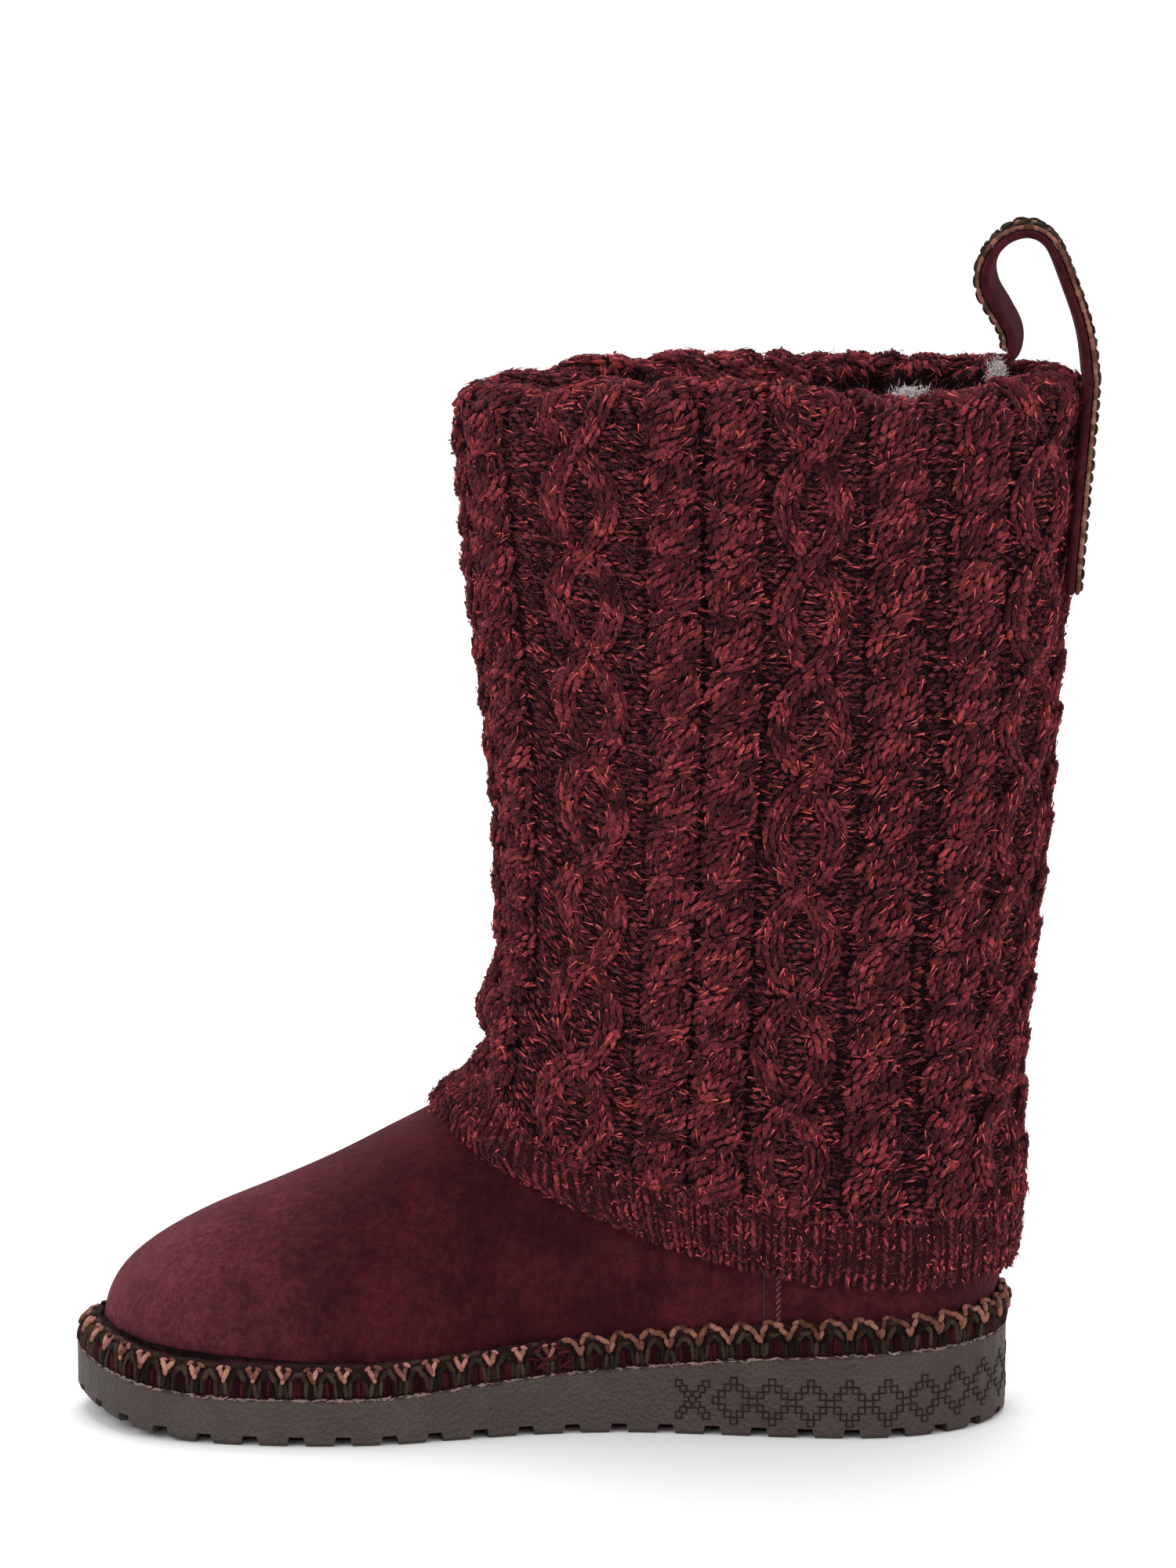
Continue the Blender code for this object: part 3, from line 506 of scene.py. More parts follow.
def grid_mesh(label, grid, material, closed_rows=False):
    """A skin over a grid of points whose columns go round. With closed_rows the
    last row joins the first."""
    rows, columns = grid.shape[:2]
    index = np.arange(rows * columns).reshape(rows, columns)
    below = index if closed_rows else index[:-1]
    above = np.roll(index, -1, axis=0) if closed_rows else index[1:]
    faces = np.stack((below, np.roll(below, -1, 1), np.roll(above, -1, 1), above), -1).reshape(-1, 4)
    mesh = bpy.data.meshes.new(label)
    mesh.vertices.add(rows * columns)
    mesh.vertices.foreach_set("co", grid.reshape(-1))
    mesh.loops.add(faces.size)
    mesh.loops.foreach_set("vertex_index", faces.reshape(-1))
    mesh.polygons.add(len(faces))
    mesh.polygons.foreach_set("loop_start", np.arange(len(faces)) * 4)
    mesh.update(calc_edges=True)
    mesh.validate()
    mesh.materials.append(material)
    mesh.shade_smooth()
    return added(label, mesh)


def face_out(thing, merge=0.0):
    """Turn the faces of a closed mesh outwards. Points nearer than merge are one."""
    shape = bmesh.new()
    shape.from_mesh(thing.data)
    if merge:
        bmesh.ops.remove_doubles(shape, verts=shape.verts, dist=merge)
    bmesh.ops.recalc_face_normals(shape, faces=shape.faces)
    shape.to_mesh(thing.data)
    shape.free()


def merged_copy(node, label, material):
    """A copy of a CAD node with its loose triangles joined into quads."""
    shape = bmesh.new()
    shape.from_mesh(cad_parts[node].data)
    bmesh.ops.remove_doubles(shape, verts=shape.verts, dist=0.00001)
    bmesh.ops.join_triangles(
        shape, faces=shape.faces, angle_face_threshold=0.6, angle_shape_threshold=3.1,
        cmp_seam=False, cmp_sharp=False, cmp_uvs=False, cmp_vcols=False, cmp_materials=False,
    )
    mesh = bpy.data.meshes.new(label)
    shape.to_mesh(mesh)
    shape.free()
    mesh.materials.append(material)
    mesh.shade_smooth()
    return added(label, mesh)


def baked(thing):
    """Replace an object's mesh by its evaluated one and drop its modifiers."""
    graph = bpy.context.evaluated_depsgraph_get()
    mesh = bpy.data.meshes.new_from_object(thing.evaluated_get(graph))
    old = thing.data
    thing.modifiers.clear()
    thing.data = mesh
    bpy.data.meshes.remove(old)
    return thing


def smoothed(thing, levels):
    """Subdivision surface, applied."""
    modifier = thing.modifiers.new("smooth", "SUBSURF")
    modifier.levels = levels
    modifier.render_levels = levels
    return baked(thing)


def node_group(label, inputs, output):
    """An empty geometry node tree with named inputs and one output."""
    tree = bpy.data.node_groups.new(label, "GeometryNodeTree")
    for name, kind, value in inputs:
        socket = tree.interface.new_socket(name, in_out="INPUT", socket_type=kind)
        if value is not None:
            socket.default_value = value
    tree.interface.new_socket(output, in_out="OUTPUT", socket_type="NodeSocketGeometry")
    start = tree.nodes.new("NodeGroupInput")
    end = tree.nodes.new("NodeGroupOutput")
    return tree, start, end


# The small shapes that are laid on points, each with its node and that node's
# inputs: a leg of knitting, a leg of cord, a purl bump, a moulded pad, a hair.
TEMPLATES = {
    "yarn": ("GeometryNodeMeshIcoSphere", {"Radius": 1.0, "Subdivisions": 1}),
    "cord": ("GeometryNodeMeshUVSphere", {"Radius": 1.0, "Segments": 6, "Rings": 5}),
    "bump": ("GeometryNodeMeshUVSphere", {"Radius": 1.1, "Segments": 4, "Rings": 2}),
    "pad": ("GeometryNodeMeshCube", {"Size": (2.0, 2.0, 2.0)}),
    "hair": (
        "GeometryNodeMeshCone",
        {"Vertices": 3, "Radius Top": 0.0, "Radius Bottom": 1.0, "Depth": 1.0},
    ),
}


def stitch_tree(template):
    """Tree that lays one small shape on each point, turned and sized by the
    point's own attributes."""
    tree, start, end = node_group(
        "lay_" + template,
        (
            ("Points", "NodeSocketGeometry", None),
            ("Thickness", "NodeSocketFloat", 1.0),
            ("Material", "NodeSocketMaterial", None),
        ),
        "Stitches",
    )
    nodes = tree.nodes
    links = tree.links
    kind, inputs = TEMPLATES[template]
    shape = nodes.new(kind)
    for name, value in inputs.items():
        shape.inputs[name].default_value = value
    lay = nodes.new("GeometryNodeInstanceOnPoints")
    turn, size = [nodes.new("GeometryNodeInputNamedAttribute") for _ in range(2)]
    for node, name in ((turn, "turn"), (size, "size")):
        node.data_type = "FLOAT_VECTOR"
        node.inputs["Name"].default_value = name
    thicken = nodes.new("ShaderNodeVectorMath")
    thicken.operation = "SCALE"
    realize = nodes.new("GeometryNodeRealizeInstances")
    shade = nodes.new("GeometryNodeSetShadeSmooth")
    shade.inputs["Shade Smooth"].default_value = template != "pad"
    paint = nodes.new("GeometryNodeSetMaterial")
    for source, output, target, socket in (
        (start, "Points", lay, "Points"),
        (shape, "Mesh", lay, "Instance"),
        (turn, "Attribute", lay, "Rotation"),
        (size, "Attribute", thicken, 0),
        (start, "Thickness", thicken, "Scale"),
        (thicken, "Vector", lay, "Scale"),
        (lay, "Instances", realize, "Geometry"),
        (realize, "Geometry", shade, "Geometry"),
        (shade, "Geometry", paint, "Geometry"),
        (start, "Material", paint, "Material"),
        (paint, "Geometry", end, "Stitches"),
    ):
        links.new(source.outputs[output], target.inputs[socket])
    return tree


def set_input(modifier, name, value):
    """Set a geometry node input by its socket's identifier."""
    for item in modifier.node_group.interface.items_tree:
        if item.item_type == "SOCKET" and item.in_out == "INPUT" and item.name == name:
            modifier[item.identifier] = value
            return
    raise RuntimeError("no input named " + name)


def turns_from(along, normal):
    """Euler angles that lay a shape's x along one way and its z along the normal."""
    x = unit(along)
    y = unit(np.cross(normal, x))
    z = np.cross(x, y)
    pitch = np.arcsin(np.clip(-x[:, 2], -1.0, 1.0))
    roll = np.arctan2(y[:, 2], z[:, 2])
    yaw = np.arctan2(x[:, 1], x[:, 0])
    return np.column_stack((roll, pitch, yaw))


def laid(label, template, places, along, normal, sizes, tints, material, thickness=1.0):
    """Small shapes laid on points, as one plain mesh object."""
    mesh = bpy.data.meshes.new(label)
    mesh.vertices.add(len(places))
    mesh.vertices.foreach_set("co", np.ascontiguousarray(places, float).reshape(-1))
    turn = mesh.attributes.new("turn", "FLOAT_VECTOR", "POINT")
    turn.data.foreach_set("vector", turns_from(along, normal).reshape(-1))
    size = mesh.attributes.new("size", "FLOAT_VECTOR", "POINT")
    size.data.foreach_set("vector", np.ascontiguousarray(sizes, float).reshape(-1))
    tint = mesh.attributes.new("tint", "FLOAT", "POINT")
    tint.data.foreach_set("value", np.ascontiguousarray(tints, float))
    thing = added(label, mesh)
    modifier = thing.modifiers.new("stitches", "NODES")
    modifier.node_group = TREES[template]
    set_input(modifier, "Thickness", thickness)
    set_input(modifier, "Material", material)
    bpy.context.view_layer.update()
    baked(thing)
    for name in ("turn", "size"):
        if name in thing.data.attributes:
            thing.data.attributes.remove(thing.data.attributes[name])
    return thing


TREES = {}


def surface_of(node):
    """A search tree over a CAD node's faces."""
    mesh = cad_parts[node].data
    points = [vertex.co.copy() for vertex in mesh.vertices]
    faces = [tuple(face.vertices) for face in mesh.polygons]
    return BVHTree.FromPolygons(points, faces)


def keep(thing, slot, *nodes):
    """Tie a finished piece to the frame and hide the CAD nodes that it stands for. The slot, its finish's
    name, is not used.
    """
    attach(thing, "root")
    if nodes:
        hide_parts(*nodes)


# The sleeve's surface


class Sleeve:
    """The knit's smooth face, from its hem up over the collar and down inside.
    Places on it are a share round the leg, from the front by the inner side,
    and a number of rows below the rim, negative past it."""

    COLUMN_COUNT = 96
    ROW_COUNT = 110
    FINE_COLUMNS = 576
    FINE_ROWS = 440

    def __init__(self):
        self.tree = surface_of("knit_sleeve")
        self.find_angles()
        columns = [self.profile(angle) for angle in self.angles]
        grid = np.stack([column[0] for column in columns], axis=1)
        lengths = np.array([column[1] for column in columns])
        rims = np.array([column[2] for column in columns])
        self.grid = settled(self.finer(grid))
        self.length = self.around(lengths[None])[0]
        self.rim = self.around(rims[None])[0]
        step_round = np.roll(self.grid, -1, 1) - np.roll(self.grid, 1, 1)
        step_up = np.gradient(self.grid, axis=0)
        self.round = unit(step_round)
        self.up = unit(step_up)
        self.out = unit(np.cross(self.round, self.up))
        self.girth = np.linalg.norm(np.roll(self.grid, -1, 1) - self.grid, axis=2).sum(1) / MM

    def find_angles(self):
        """Angles that share the leg's girth evenly."""
        angles = np.linspace(0.0, 2.0 * math.pi, 361)
        ring = np.array([self.outer(angle, 0.2) for angle in angles])
        arc = arc_of(ring)
        even = np.arange(self.COLUMN_COUNT) / self.COLUMN_COUNT
        self.angles = np.interp(even * arc[-1], arc, angles)

    def cast(self, start, way, reach):
        """First point that a ray meets, or None."""
        spot = self.tree.ray_cast(Vector(start), Vector(way), reach)[0]
        return None if spot is None else np.array(spot)

    def outer(self, angle, height):
        """Point on the sleeve's outer face."""
        middle = np.array((LEG_X, LEG_Y, height))
        way = level_way(angle)
        return self.cast(middle + way * 0.25, -way, 0.23)

    def hem(self, angle):
        """Height of the hem's lowest point."""
        low = 0.030
        high = 0.120
        for _ in range(14):
            middle = 0.5 * (low + high)
            if self.outer(angle, middle) is None:
                low = middle
            else:
                high = middle
        return high

    def profile(self, angle):
        """Evenly spaced points up one column, its length, and the rim's share."""
        way = level_way(angle)
        axis = np.array((LEG_X, LEG_Y, 0.0))
        line = [self.outer(angle, height) for height in np.linspace(self.hem(angle) + 0.0008, RIM, 48)]
        outer_reach = float((line[-1] - axis) @ way)
        inner = self.cast(axis + np.array((0.0, 0.0, RIM)), way, 0.25)
        inner_reach = float((inner - axis) @ way)
        middle = 0.5 * (outer_reach + inner_reach)
        half = 0.5 * (outer_reach - inner_reach)
        count = len(line)
        for turn in np.radians(np.arange(12.0, 180.0, 12.0)):
            height = RIM + (FOLD_TOP - RIM) * math.sin(turn)
            line.append(axis + way * (middle + half * math.cos(turn)) + np.array((0.0, 0.0, height)))
        for drop in np.linspace(0.0, TURN_IN, 8):
            line.append(self.cast(axis + np.array((0.0, 0.0, RIM - drop)), way, 0.25))
        line = np.array(line)
        arc = arc_of(line)
        even = np.linspace(0.0, arc[-1], self.ROW_COUNT)
        return along_line(even, arc, line), arc[-1], arc[count - 1] / arc[-1]

    def around(self, rows):
        """Rows of numbers made finer round the leg, without their quick ripples."""
        waves = np.fft.rfft(rows, axis=1)
        waves[:, 13:] = 0.0
        more = self.FINE_COLUMNS
        return np.fft.irfft(waves, n=more, axis=1) * more / rows.shape[1]

    def finer(self, grid):
        """The coarse grid smoothed and made finer both ways."""
        wide = np.stack([self.around(grid[:, :, axis]) for axis in range(3)], axis=2)
        places = np.linspace(0.0, len(wide) - 1.0, self.FINE_ROWS)
        cell = np.clip(places.astype(int), 0, len(wide) - 2)
        t = (places - cell)[:, None, None]
        before = wide[np.maximum(cell - 1, 0)]
        start = wide[cell]
        end = wide[cell + 1]
        after = wide[np.minimum(cell + 2, len(wide) - 1)]
        return between(before, start, end, after, t)

    def share_up(self, share, rows):
        """Share of the way up a column for a number of rows below the rim."""
        place = share % 1.0 * self.FINE_COLUMNS
        columns = np.arange(self.FINE_COLUMNS + 1)
        rim = np.interp(place, columns, np.append(self.rim, self.rim[0]))
        length = np.interp(place, columns, np.append(self.length, self.length[0]))
        below = rim * (1.0 - rows / CABLE_ROWS)
        past = rim - rows * ROW_PAST_RIM / length
        return np.clip(np.where(rows >= 0.0, below, past), 0.0, 1.0)

    def read(self, field, share, rows):
        """A field of the surface at places on it. Lower down the columns lean
        towards the front."""
        share = share - 0.016 * ease(rows, 20.0, CABLE_ROWS) * np.sin(2.0 * math.pi * share)
        column = (share % 1.0) * self.FINE_COLUMNS
        row = self.share_up(share, rows) * (self.FINE_ROWS - 1)
        c0 = column.astype(int) % self.FINE_COLUMNS
        c1 = (c0 + 1) % self.FINE_COLUMNS
        r0 = np.minimum(row.astype(int), self.FINE_ROWS - 2)
        s = (column - np.floor(column))[..., None]
        t = (row - r0)[..., None]
        low = field[r0, c0] * (1.0 - s) + field[r0, c1] * s
        high = field[r0 + 1, c0] * (1.0 - s) + field[r0 + 1, c1] * s
        return low * (1.0 - t) + high * t

    def girth_at(self, share, rows):
        """Millimetres round the leg there."""
        row = self.share_up(share, rows) * (self.FINE_ROWS - 1)
        return np.interp(row, np.arange(self.FINE_ROWS), self.girth)


def swing(kind, rows):
    """Where a cable's first strand is, across its column and up or down, and
    how fast it moves across, for rows below the rim."""
    reach, period, _ = CABLES[kind]
    turn = math.pi * (rows - FIRST_CROSSING + 0.5 * period) / period
    wide = np.sign(np.cos(turn)) * np.abs(np.cos(turn)) ** (0.65 if kind == "rope" else 0.8)
    return reach * wide, np.sin(turn)


def half_share(share):
    """Share of the way from the leg's front to its back, on either side."""
    wrapped = share % 1.0
    return 2.0 * np.minimum(wrapped, 1.0 - wrapped)


def rib_share(rows):
    """How much the hem's ribbing rules, from 0 to 1."""
    return ease(rows, CABLE_ROWS - RIB_ROWS - 1.5, CABLE_ROWS - RIB_ROWS + 0.5)


def relief(share, rows, girth):
    """Height of the knit over its smooth face, in millimetres."""
    place = half_share(share)
    height = GROUND + 0.2 * np.cos(2.0 * math.pi * rows)
    for kind, middle in COLUMNS:
        wide = CABLES[kind][2]
        across = (place - middle) * 0.5 * girth
        first, lift = swing(kind, rows)
        reach = CABLES[kind][0]
        if kind == "oval":
            inside = ease(np.abs(first) - np.abs(across), 0.0, 3.5)
            height = height + 0.8 * inside * (np.abs(across) < np.abs(first))
        else:
            height = height + 0.6 * ease(reach + wide - np.abs(across), 0.0, 1.5)
        for sign in (1.0, -1.0):
            gap = (across - sign * first) / wide
            arch = np.sqrt(np.maximum(1.0 - gap ** 2, 0.0))
            strand = arch * STRAND_RISE + CROSSING_LIFT * sign * lift - STRAND_SINK
            height = np.where(np.abs(gap) < 1.0, np.maximum(height, strand), height)
        gutter = np.exp(-(((np.abs(across) - reach - wide - 0.6) / 0.75) ** 2))
        height = height - (1.1 if kind == "rope" else 0.4) * gutter
    ribs = np.cos(math.pi * (share % 1.0) * np.round(girth.mean() / RIB_PITCH)) ** 2
    rib_height = -0.7 + 1.1 * ribs
    rib = rib_share(rows)
    height = height * (1.0 - rib) + rib_height * rib
    inside = ease(-rows, 7.0, 14.0)
    return height * (1.0 - 0.6 * inside)


# The welt: the sole's edge and what stands on it


def through(points, steps):
    """Catmull-Rom curve through the points, with the given steps to a span."""
    points = np.asarray(points, float)
    curve = []
    last = len(points) - 1
    for index in range(last):
        before = points[max(index - 1, 0)]
        start, end = points[index], points[index + 1]
        after = points[min(index + 2, last)]
        for t in np.arange(steps) / steps:
            curve.append(between(before, start, end, after, t))
    curve.append(points[-1])
    return np.array(curve)


EDGE_HEIGHT = 0.0095  # where the sole's outline is read


class Welt:
    """The sole's edge, measured in metres from the toe by the inner side, and
    the face of the braid that stands on it."""

    STEPS = 720
    HEIGHTS = np.array((0.7, 1.6, 2.8, 4.2, 5.6, 7.0, 8.2)) * MM
    CROWN = 9.4 * MM
    RIPPLES = 60  # waves round the welt that the braid's face may follow

    def __init__(self):
        sole = surface_of("outsole")
        angles = np.linspace(0.0, 2.0 * math.pi, 1441)
        ring = []
        for angle in angles:
            way = Vector(level_way(angle))
            ring.append(np.array(sole.ray_cast(Vector((0.0, 0.0, EDGE_HEIGHT)), way)[0]))
        ring = np.array(ring)
        arc = arc_of(ring)
        self.length = arc[-1]
        even = np.arange(self.STEPS) / self.STEPS * self.length
        self.edge = along_line(even, arc, ring[:, :2])
        along = np.roll(self.edge, -3, 0) - np.roll(self.edge, 3, 0)
        self.along = unit(np.column_stack((along, np.zeros(self.STEPS))))
        self.out = np.column_stack((self.along[:, 1], -self.along[:, 0], np.zeros(self.STEPS)))
        self.out *= np.sign(np.sum(self.out[:, :2] * self.edge, axis=1))[0]
        inset = self.edge - self.out[:, :2] * 1.6 * MM
        down = Vector((0.0, 0.0, -1.0))
        self.top = np.array([sole.ray_cast(Vector((x, y, 0.08)), down)[0].z for x, y in inset])
        self.face = self.braid_face()
        steps = np.median(np.linalg.norm(np.diff(self.face, axis=0), axis=2), axis=1)
        self.rise = np.concatenate(([0.0], np.cumsum(steps)))

    def braid_face(self):
        """Rows of points up the braid's outer face and over its crown."""
        braid = surface_of("welt_braid")
        upper = surface_of("upper")
        rows = []
        for height in self.HEIGHTS:
            rows.append(self.reach(braid, height))
        wall = self.reach(upper, self.CROWN)
        rows.append(wall + 0.65 * (rows[-1] - wall))
        rows.append(wall + 0.4 * MM)
        lifts = list(self.HEIGHTS) + [self.CROWN - 0.4 * MM, self.CROWN]
        face = []
        for row, lift in zip(rows, lifts):
            waves = np.fft.rfft(row)
            waves = np.where(np.arange(len(waves)) < self.RIPPLES, waves, 0.0)
            row = np.fft.irfft(waves, n=self.STEPS)
            flat = self.edge + self.out[:, :2] * row[:, None]
            face.append(np.column_stack((flat, self.top + lift)))
        return np.array(face)

    def reach(self, tree, height):
        """How far out from the sole's edge a piece's face is, at a height over the sole."""
        found = []
        for (x, y), out, top in zip(self.edge, self.out, self.top):
            start = Vector((x, y, top + height)) + Vector(out) * 0.02
            spot = tree.ray_cast(start, -Vector(out), 0.06)[0]
            found.append(0.02 - (spot - start).length if spot is not None else math.nan)
        found = np.array(found)
        met = np.isfinite(found)
        steps = np.arange(self.STEPS)
        return np.interp(steps, steps[met], found[met], period=self.STEPS)

    def cells(self, along):
        """The edge's steps before and after a distance along it, and the share between."""
        place = along / self.length * self.STEPS
        cell = np.floor(place).astype(int)
        return cell % self.STEPS, (cell + 1) % self.STEPS, (place - cell)[..., None]

    def at(self, field, along):
        """A field of the edge at a distance along it."""
        c0, c1, t = self.cells(along)
        return field[c0] * (1.0 - t) + field[c1] * t

    def on_braid(self, along, up):
        """Points on the braid's face: metres along the welt and up the face."""
        row = np.interp(up, self.rise, np.arange(len(self.rise)))
        low = np.minimum(row.astype(int), len(self.rise) - 2)
        t = (row - low)[..., None]
        c0, c1, s = self.cells(along)
        lower = self.face[low, c0] * (1.0 - s) + self.face[low, c1] * s
        higher = self.face[low + 1, c0] * (1.0 - s) + self.face[low + 1, c1] * s
        return lower * (1.0 - t) + higher * t

    def out_of_braid(self, along, up):
        """Normals of the braid's face."""
        step = 0.6 * MM
        climb = self.on_braid(along, up + step) - self.on_braid(along, up - step)
        run = self.on_braid(along + step, up) - self.on_braid(along - step, up)
        normal = unit(np.cross(run, climb))
        return normal * np.sign(np.sum(normal * self.at(self.out, along), axis=1) + 0.2)[:, None]


LEG_JITTER = 0.25  # millimetres that a leg's ends stray


def legs_between(welt, legs, starts):
    """Ends of a braid repeat's legs, laid at each start along the welt."""
    table = np.array([leg[1:] for leg in legs]) * MM
    shape = (len(starts), len(legs))
    ends = []
    for column in (0, 2):
        along = starts[:, None] + table[None, :, column] + RNG.normal(0.0, LEG_JITTER * MM, shape)
        up = np.broadcast_to(table[None, :, column + 1], shape)
        up = up + RNG.normal(0.0, 0.6 * LEG_JITTER * MM, shape)
        ends.append((along.reshape(-1), np.clip(up.reshape(-1), 0.1 * MM, welt.rise[-1] + 0.6 * MM)))
    width = np.broadcast_to(table[None, :, 4], shape).reshape(-1)
    return ends, width * RNG.uniform(0.88, 1.12, len(width))


def lay_legs(label, welt, legs, starts, material, lift=0.25):
    """Yarn legs of a braid, as one piece."""
    (first, second), width = legs_between(welt, legs, starts)
    low = welt.on_braid(*first)
    high = welt.on_braid(*second)
    middle = (0.5 * (first[0] + second[0]), 0.5 * (first[1] + second[1]))
    out = welt.out_of_braid(*middle)
    span = high - low
    places = 0.5 * (low + high) + out * (lift * width)[:, None]
    half_long = 0.5 * np.linalg.norm(span, axis=1) + 0.45 * width
    sizes = np.column_stack((half_long, 0.5 * width, 0.5 * width))
    return laid(label, "cord", places, unit(span), out, sizes, RNG.random(len(width)), material)


class LookSettings(bpy.types.PropertyGroup):
    """Colours and sizes that a user may change."""

    foam: bpy.props.FloatVectorProperty(
        name="Foam", description="Colour of the foam sole", subtype="COLOR", size=4,
        default=srgb(70, 60, 55),
    )
    suede: bpy.props.FloatVectorProperty(
        name="Suede", description="Colour of the suede foot", subtype="COLOR", size=4,
        default=srgb(57, 18, 24),
    )
    leg_width: bpy.props.FloatProperty(
        name="Yarn width", description="Width of one knitted leg of yarn", default=1.9 * MM,
        unit="LENGTH",
    )
    leg_length: bpy.props.FloatProperty(
        name="Yarn leg", description="Length of one knitted leg of yarn", default=4.6 * MM,
        unit="LENGTH",
    )
    hair_count: bpy.props.IntProperty(
        name="Hairs", description="Loose hairs of the brushed yarn", default=44000, min=0,
    )
    fleck_count: bpy.props.IntProperty(
        name="Flecks", description="Fibres that show the marl's plies", default=26000, min=0,
    )


class BOOT_OT_outsole(bpy.types.Operator):
    """Grain the foam sole and add its raised diamonds"""

    bl_idname = "boot.outsole"
    bl_label = "Foam sole"

    def execute(self, context):
        looks = context.scene.boot_looks
        foam = foam_finish(looks)
        paint_node("outsole", foam)
        self.add_diamonds(Welt(), foam)
        return {"FINISHED"}

    def add_diamonds(self, welt, foam):
        """Rings of small raised squares, each on a slightly larger dark plate that paints the shade round
        it.
        """
        side = welt.edge[:, 0] > DIAMOND_START
        first = np.argmax(side) / welt.STEPS * welt.length
        last = (welt.STEPS - np.argmax(side[::-1])) / welt.STEPS * welt.length
        count = round((last - first) / DIAMOND_PITCH)
        across = DIAMOND_PITCH / DIAMOND_STEPS
        ring = []
        for column in range(-3, 4):
            for sign in (-1, 1) if abs(column) < 3 else (1,):
                ring.append((column * across, sign * (3 - abs(column)) * DIAMOND_STEP))
        cross = [(0.0, 0.0)]
        for step in (1.0, 2.0, 3.0):
            for a in (-1, 1):
                cross += [(a * 0.75 * step * across, b * 0.8 * step * DIAMOND_STEP) for b in (-1, 1)]
        marks = [(place + a, b) for place in np.linspace(first, last, count + 1) for a, b in ring]
        for place in (first - HALF_DIAMOND_GAP, last + HALF_DIAMOND_GAP):
            marks += [(place + a, b) for a, b in cross]
        along, up = np.array(marks).T
        out = welt.at(welt.out, along)
        run = welt.at(welt.along, along)
        flat = welt.at(welt.edge, along)
        heel_lift = HEEL_LIFT * ease(flat[:, 0], 0.10, 0.14)
        places = np.column_stack((flat, DIAMOND_HEIGHT + up + heel_lift))
        # Painted shade: the near-black plate under each square stands for the shade in the furrow round
        # it.
        groove_shade = plain_finish("painted_groove_shade", srgb(22, 18, 16), srgb(36, 31, 28), 900.0, 0.9, 0.0)
        for label, half, thick, material in (
            ("diamond_groove_shade", 0.5 * SQUARE + 0.28 * MM, 0.10 * MM, groove_shade),
            ("diamond_squares", 0.5 * SQUARE - 0.28 * MM, 0.26 * MM, foam),
        ):
            sizes = np.tile((half, half, thick), (len(along), 1))
            thing = laid(label, "pad", places, run, out, sizes, np.zeros(len(along)), material)
            keep(thing, "sole_foam")


def paint_node(node, material):
    """Give a CAD node a better material."""
    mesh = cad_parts[node].data
    mesh.materials.clear()
    mesh.materials.append(material)


class BOOT_OT_upper(bpy.types.Operator):
    """Dress the suede foot with its seams and soft creases"""

    bl_idname = "boot.upper"
    bl_label = "Suede foot"

    def execute(self, context):
        looks = context.scene.boot_looks
        suede = suede_finish("burgundy_suede", tuple(looks.suede), srgb(150, 84, 94))
        upper = merged_copy("upper", "suede_foot", suede)
        upper.data.materials.append(fleece_finish("fleece_lining"))
        self.line_inside(upper.data)
        smoothed(upper, 2)
        crease(upper.data)
        keep(upper, "burgundy_suede", "upper")
        self.stitch_seams()
        footbed = merged_copy("insole", "footbed", fleece_finish("fleece_footbed"))
        smoothed(footbed, 2)
        keep(footbed, "insole_felt", "insole")
        return {"FINISHED"}

    def line_inside(self, mesh):
        """Give the lining's fleece to the faces that look into the boot. A point
        off such a face has the wall on all four sides of it."""
        tree = surface_of("upper")
        sides = [Vector(way) for way in ((1, 0, 0), (-1, 0, 0), (0, 1, 0), (0, -1, 0))]
        for face in mesh.polygons:
            start = face.center + face.normal * 2.6 * MM
            if all(tree.ray_cast(start, way, 0.4)[0] is not None for way in sides):
                face.material_index = 1

    def stitch_seams(self):
        """Slanted stitches down each side seam's strip, and before it a sunk dark strip: painted shadow in
        the seam's fold.
        """
        tree = surface_of("upper")
        thread = plain_finish("seam_thread", srgb(58, 20, 28), srgb(118, 54, 64), 1500.0)
        # Painted shadow: near-black pieces sunk along the fold line stand for the shadow in the fold.
        fold = plain_finish("seam_fold_shadow", srgb(10, 4, 6), srgb(24, 9, 12), 1500.0)
        for label, offset, pitch, slant, size, lift, material in (
            ("seam_thread", 1.5 * MM, 1.9 * MM, 0.75, (1.25, 0.46, 0.36), 0.55 * MM, thread),
            ("seam_fold_shadow", -2.9 * MM, 0.9 * MM, 0.0, (0.95, 0.75, 0.16), -0.30 * MM, fold),
        ):
            places, along, out = [], [], []
            for side in (-1.0, 1.0):
                for height in np.arange(0.030, 0.056, pitch):
                    start = Vector((0.0690 + offset, side * 0.08, height))
                    spot, normal = tree.ray_cast(start, Vector((0.0, -side, 0.0)), 0.08)[:2]
                    if spot is not None:
                        places.append(np.array(spot) + np.array(normal) * lift)
                        out.append(np.array(normal))
                        along.append((slant, 0.0, 1.0))
            sizes = np.tile(np.array(size) * MM, (len(places), 1))
            thing = laid(
                label, "cord", np.array(places), np.array(along), np.array(out), sizes,
                np.zeros(len(places)), material,
            )
            keep(thing, "burgundy_suede")


def lit(height):
    """How much light a stitch gets at a height over the sleeve's smooth face,
    in millimetres: none down in the gutters, all of it on the strands."""
    return ease(height, -2.65, -1.35)


def leg_tints(share, rows, height):
    """How bright each leg's yarn is. The marl runs on for a few stitches, and
    legs down in the gutters get little light."""
    along = np.sin(rows * 0.9 + 40.0 * share) * np.sin(rows * 0.37 - 91.0 * share)
    tint = 0.32 + 0.36 * RNG.random(len(share)) + 0.18 * along
    return tint * (0.20 + 0.80 * lit(height))


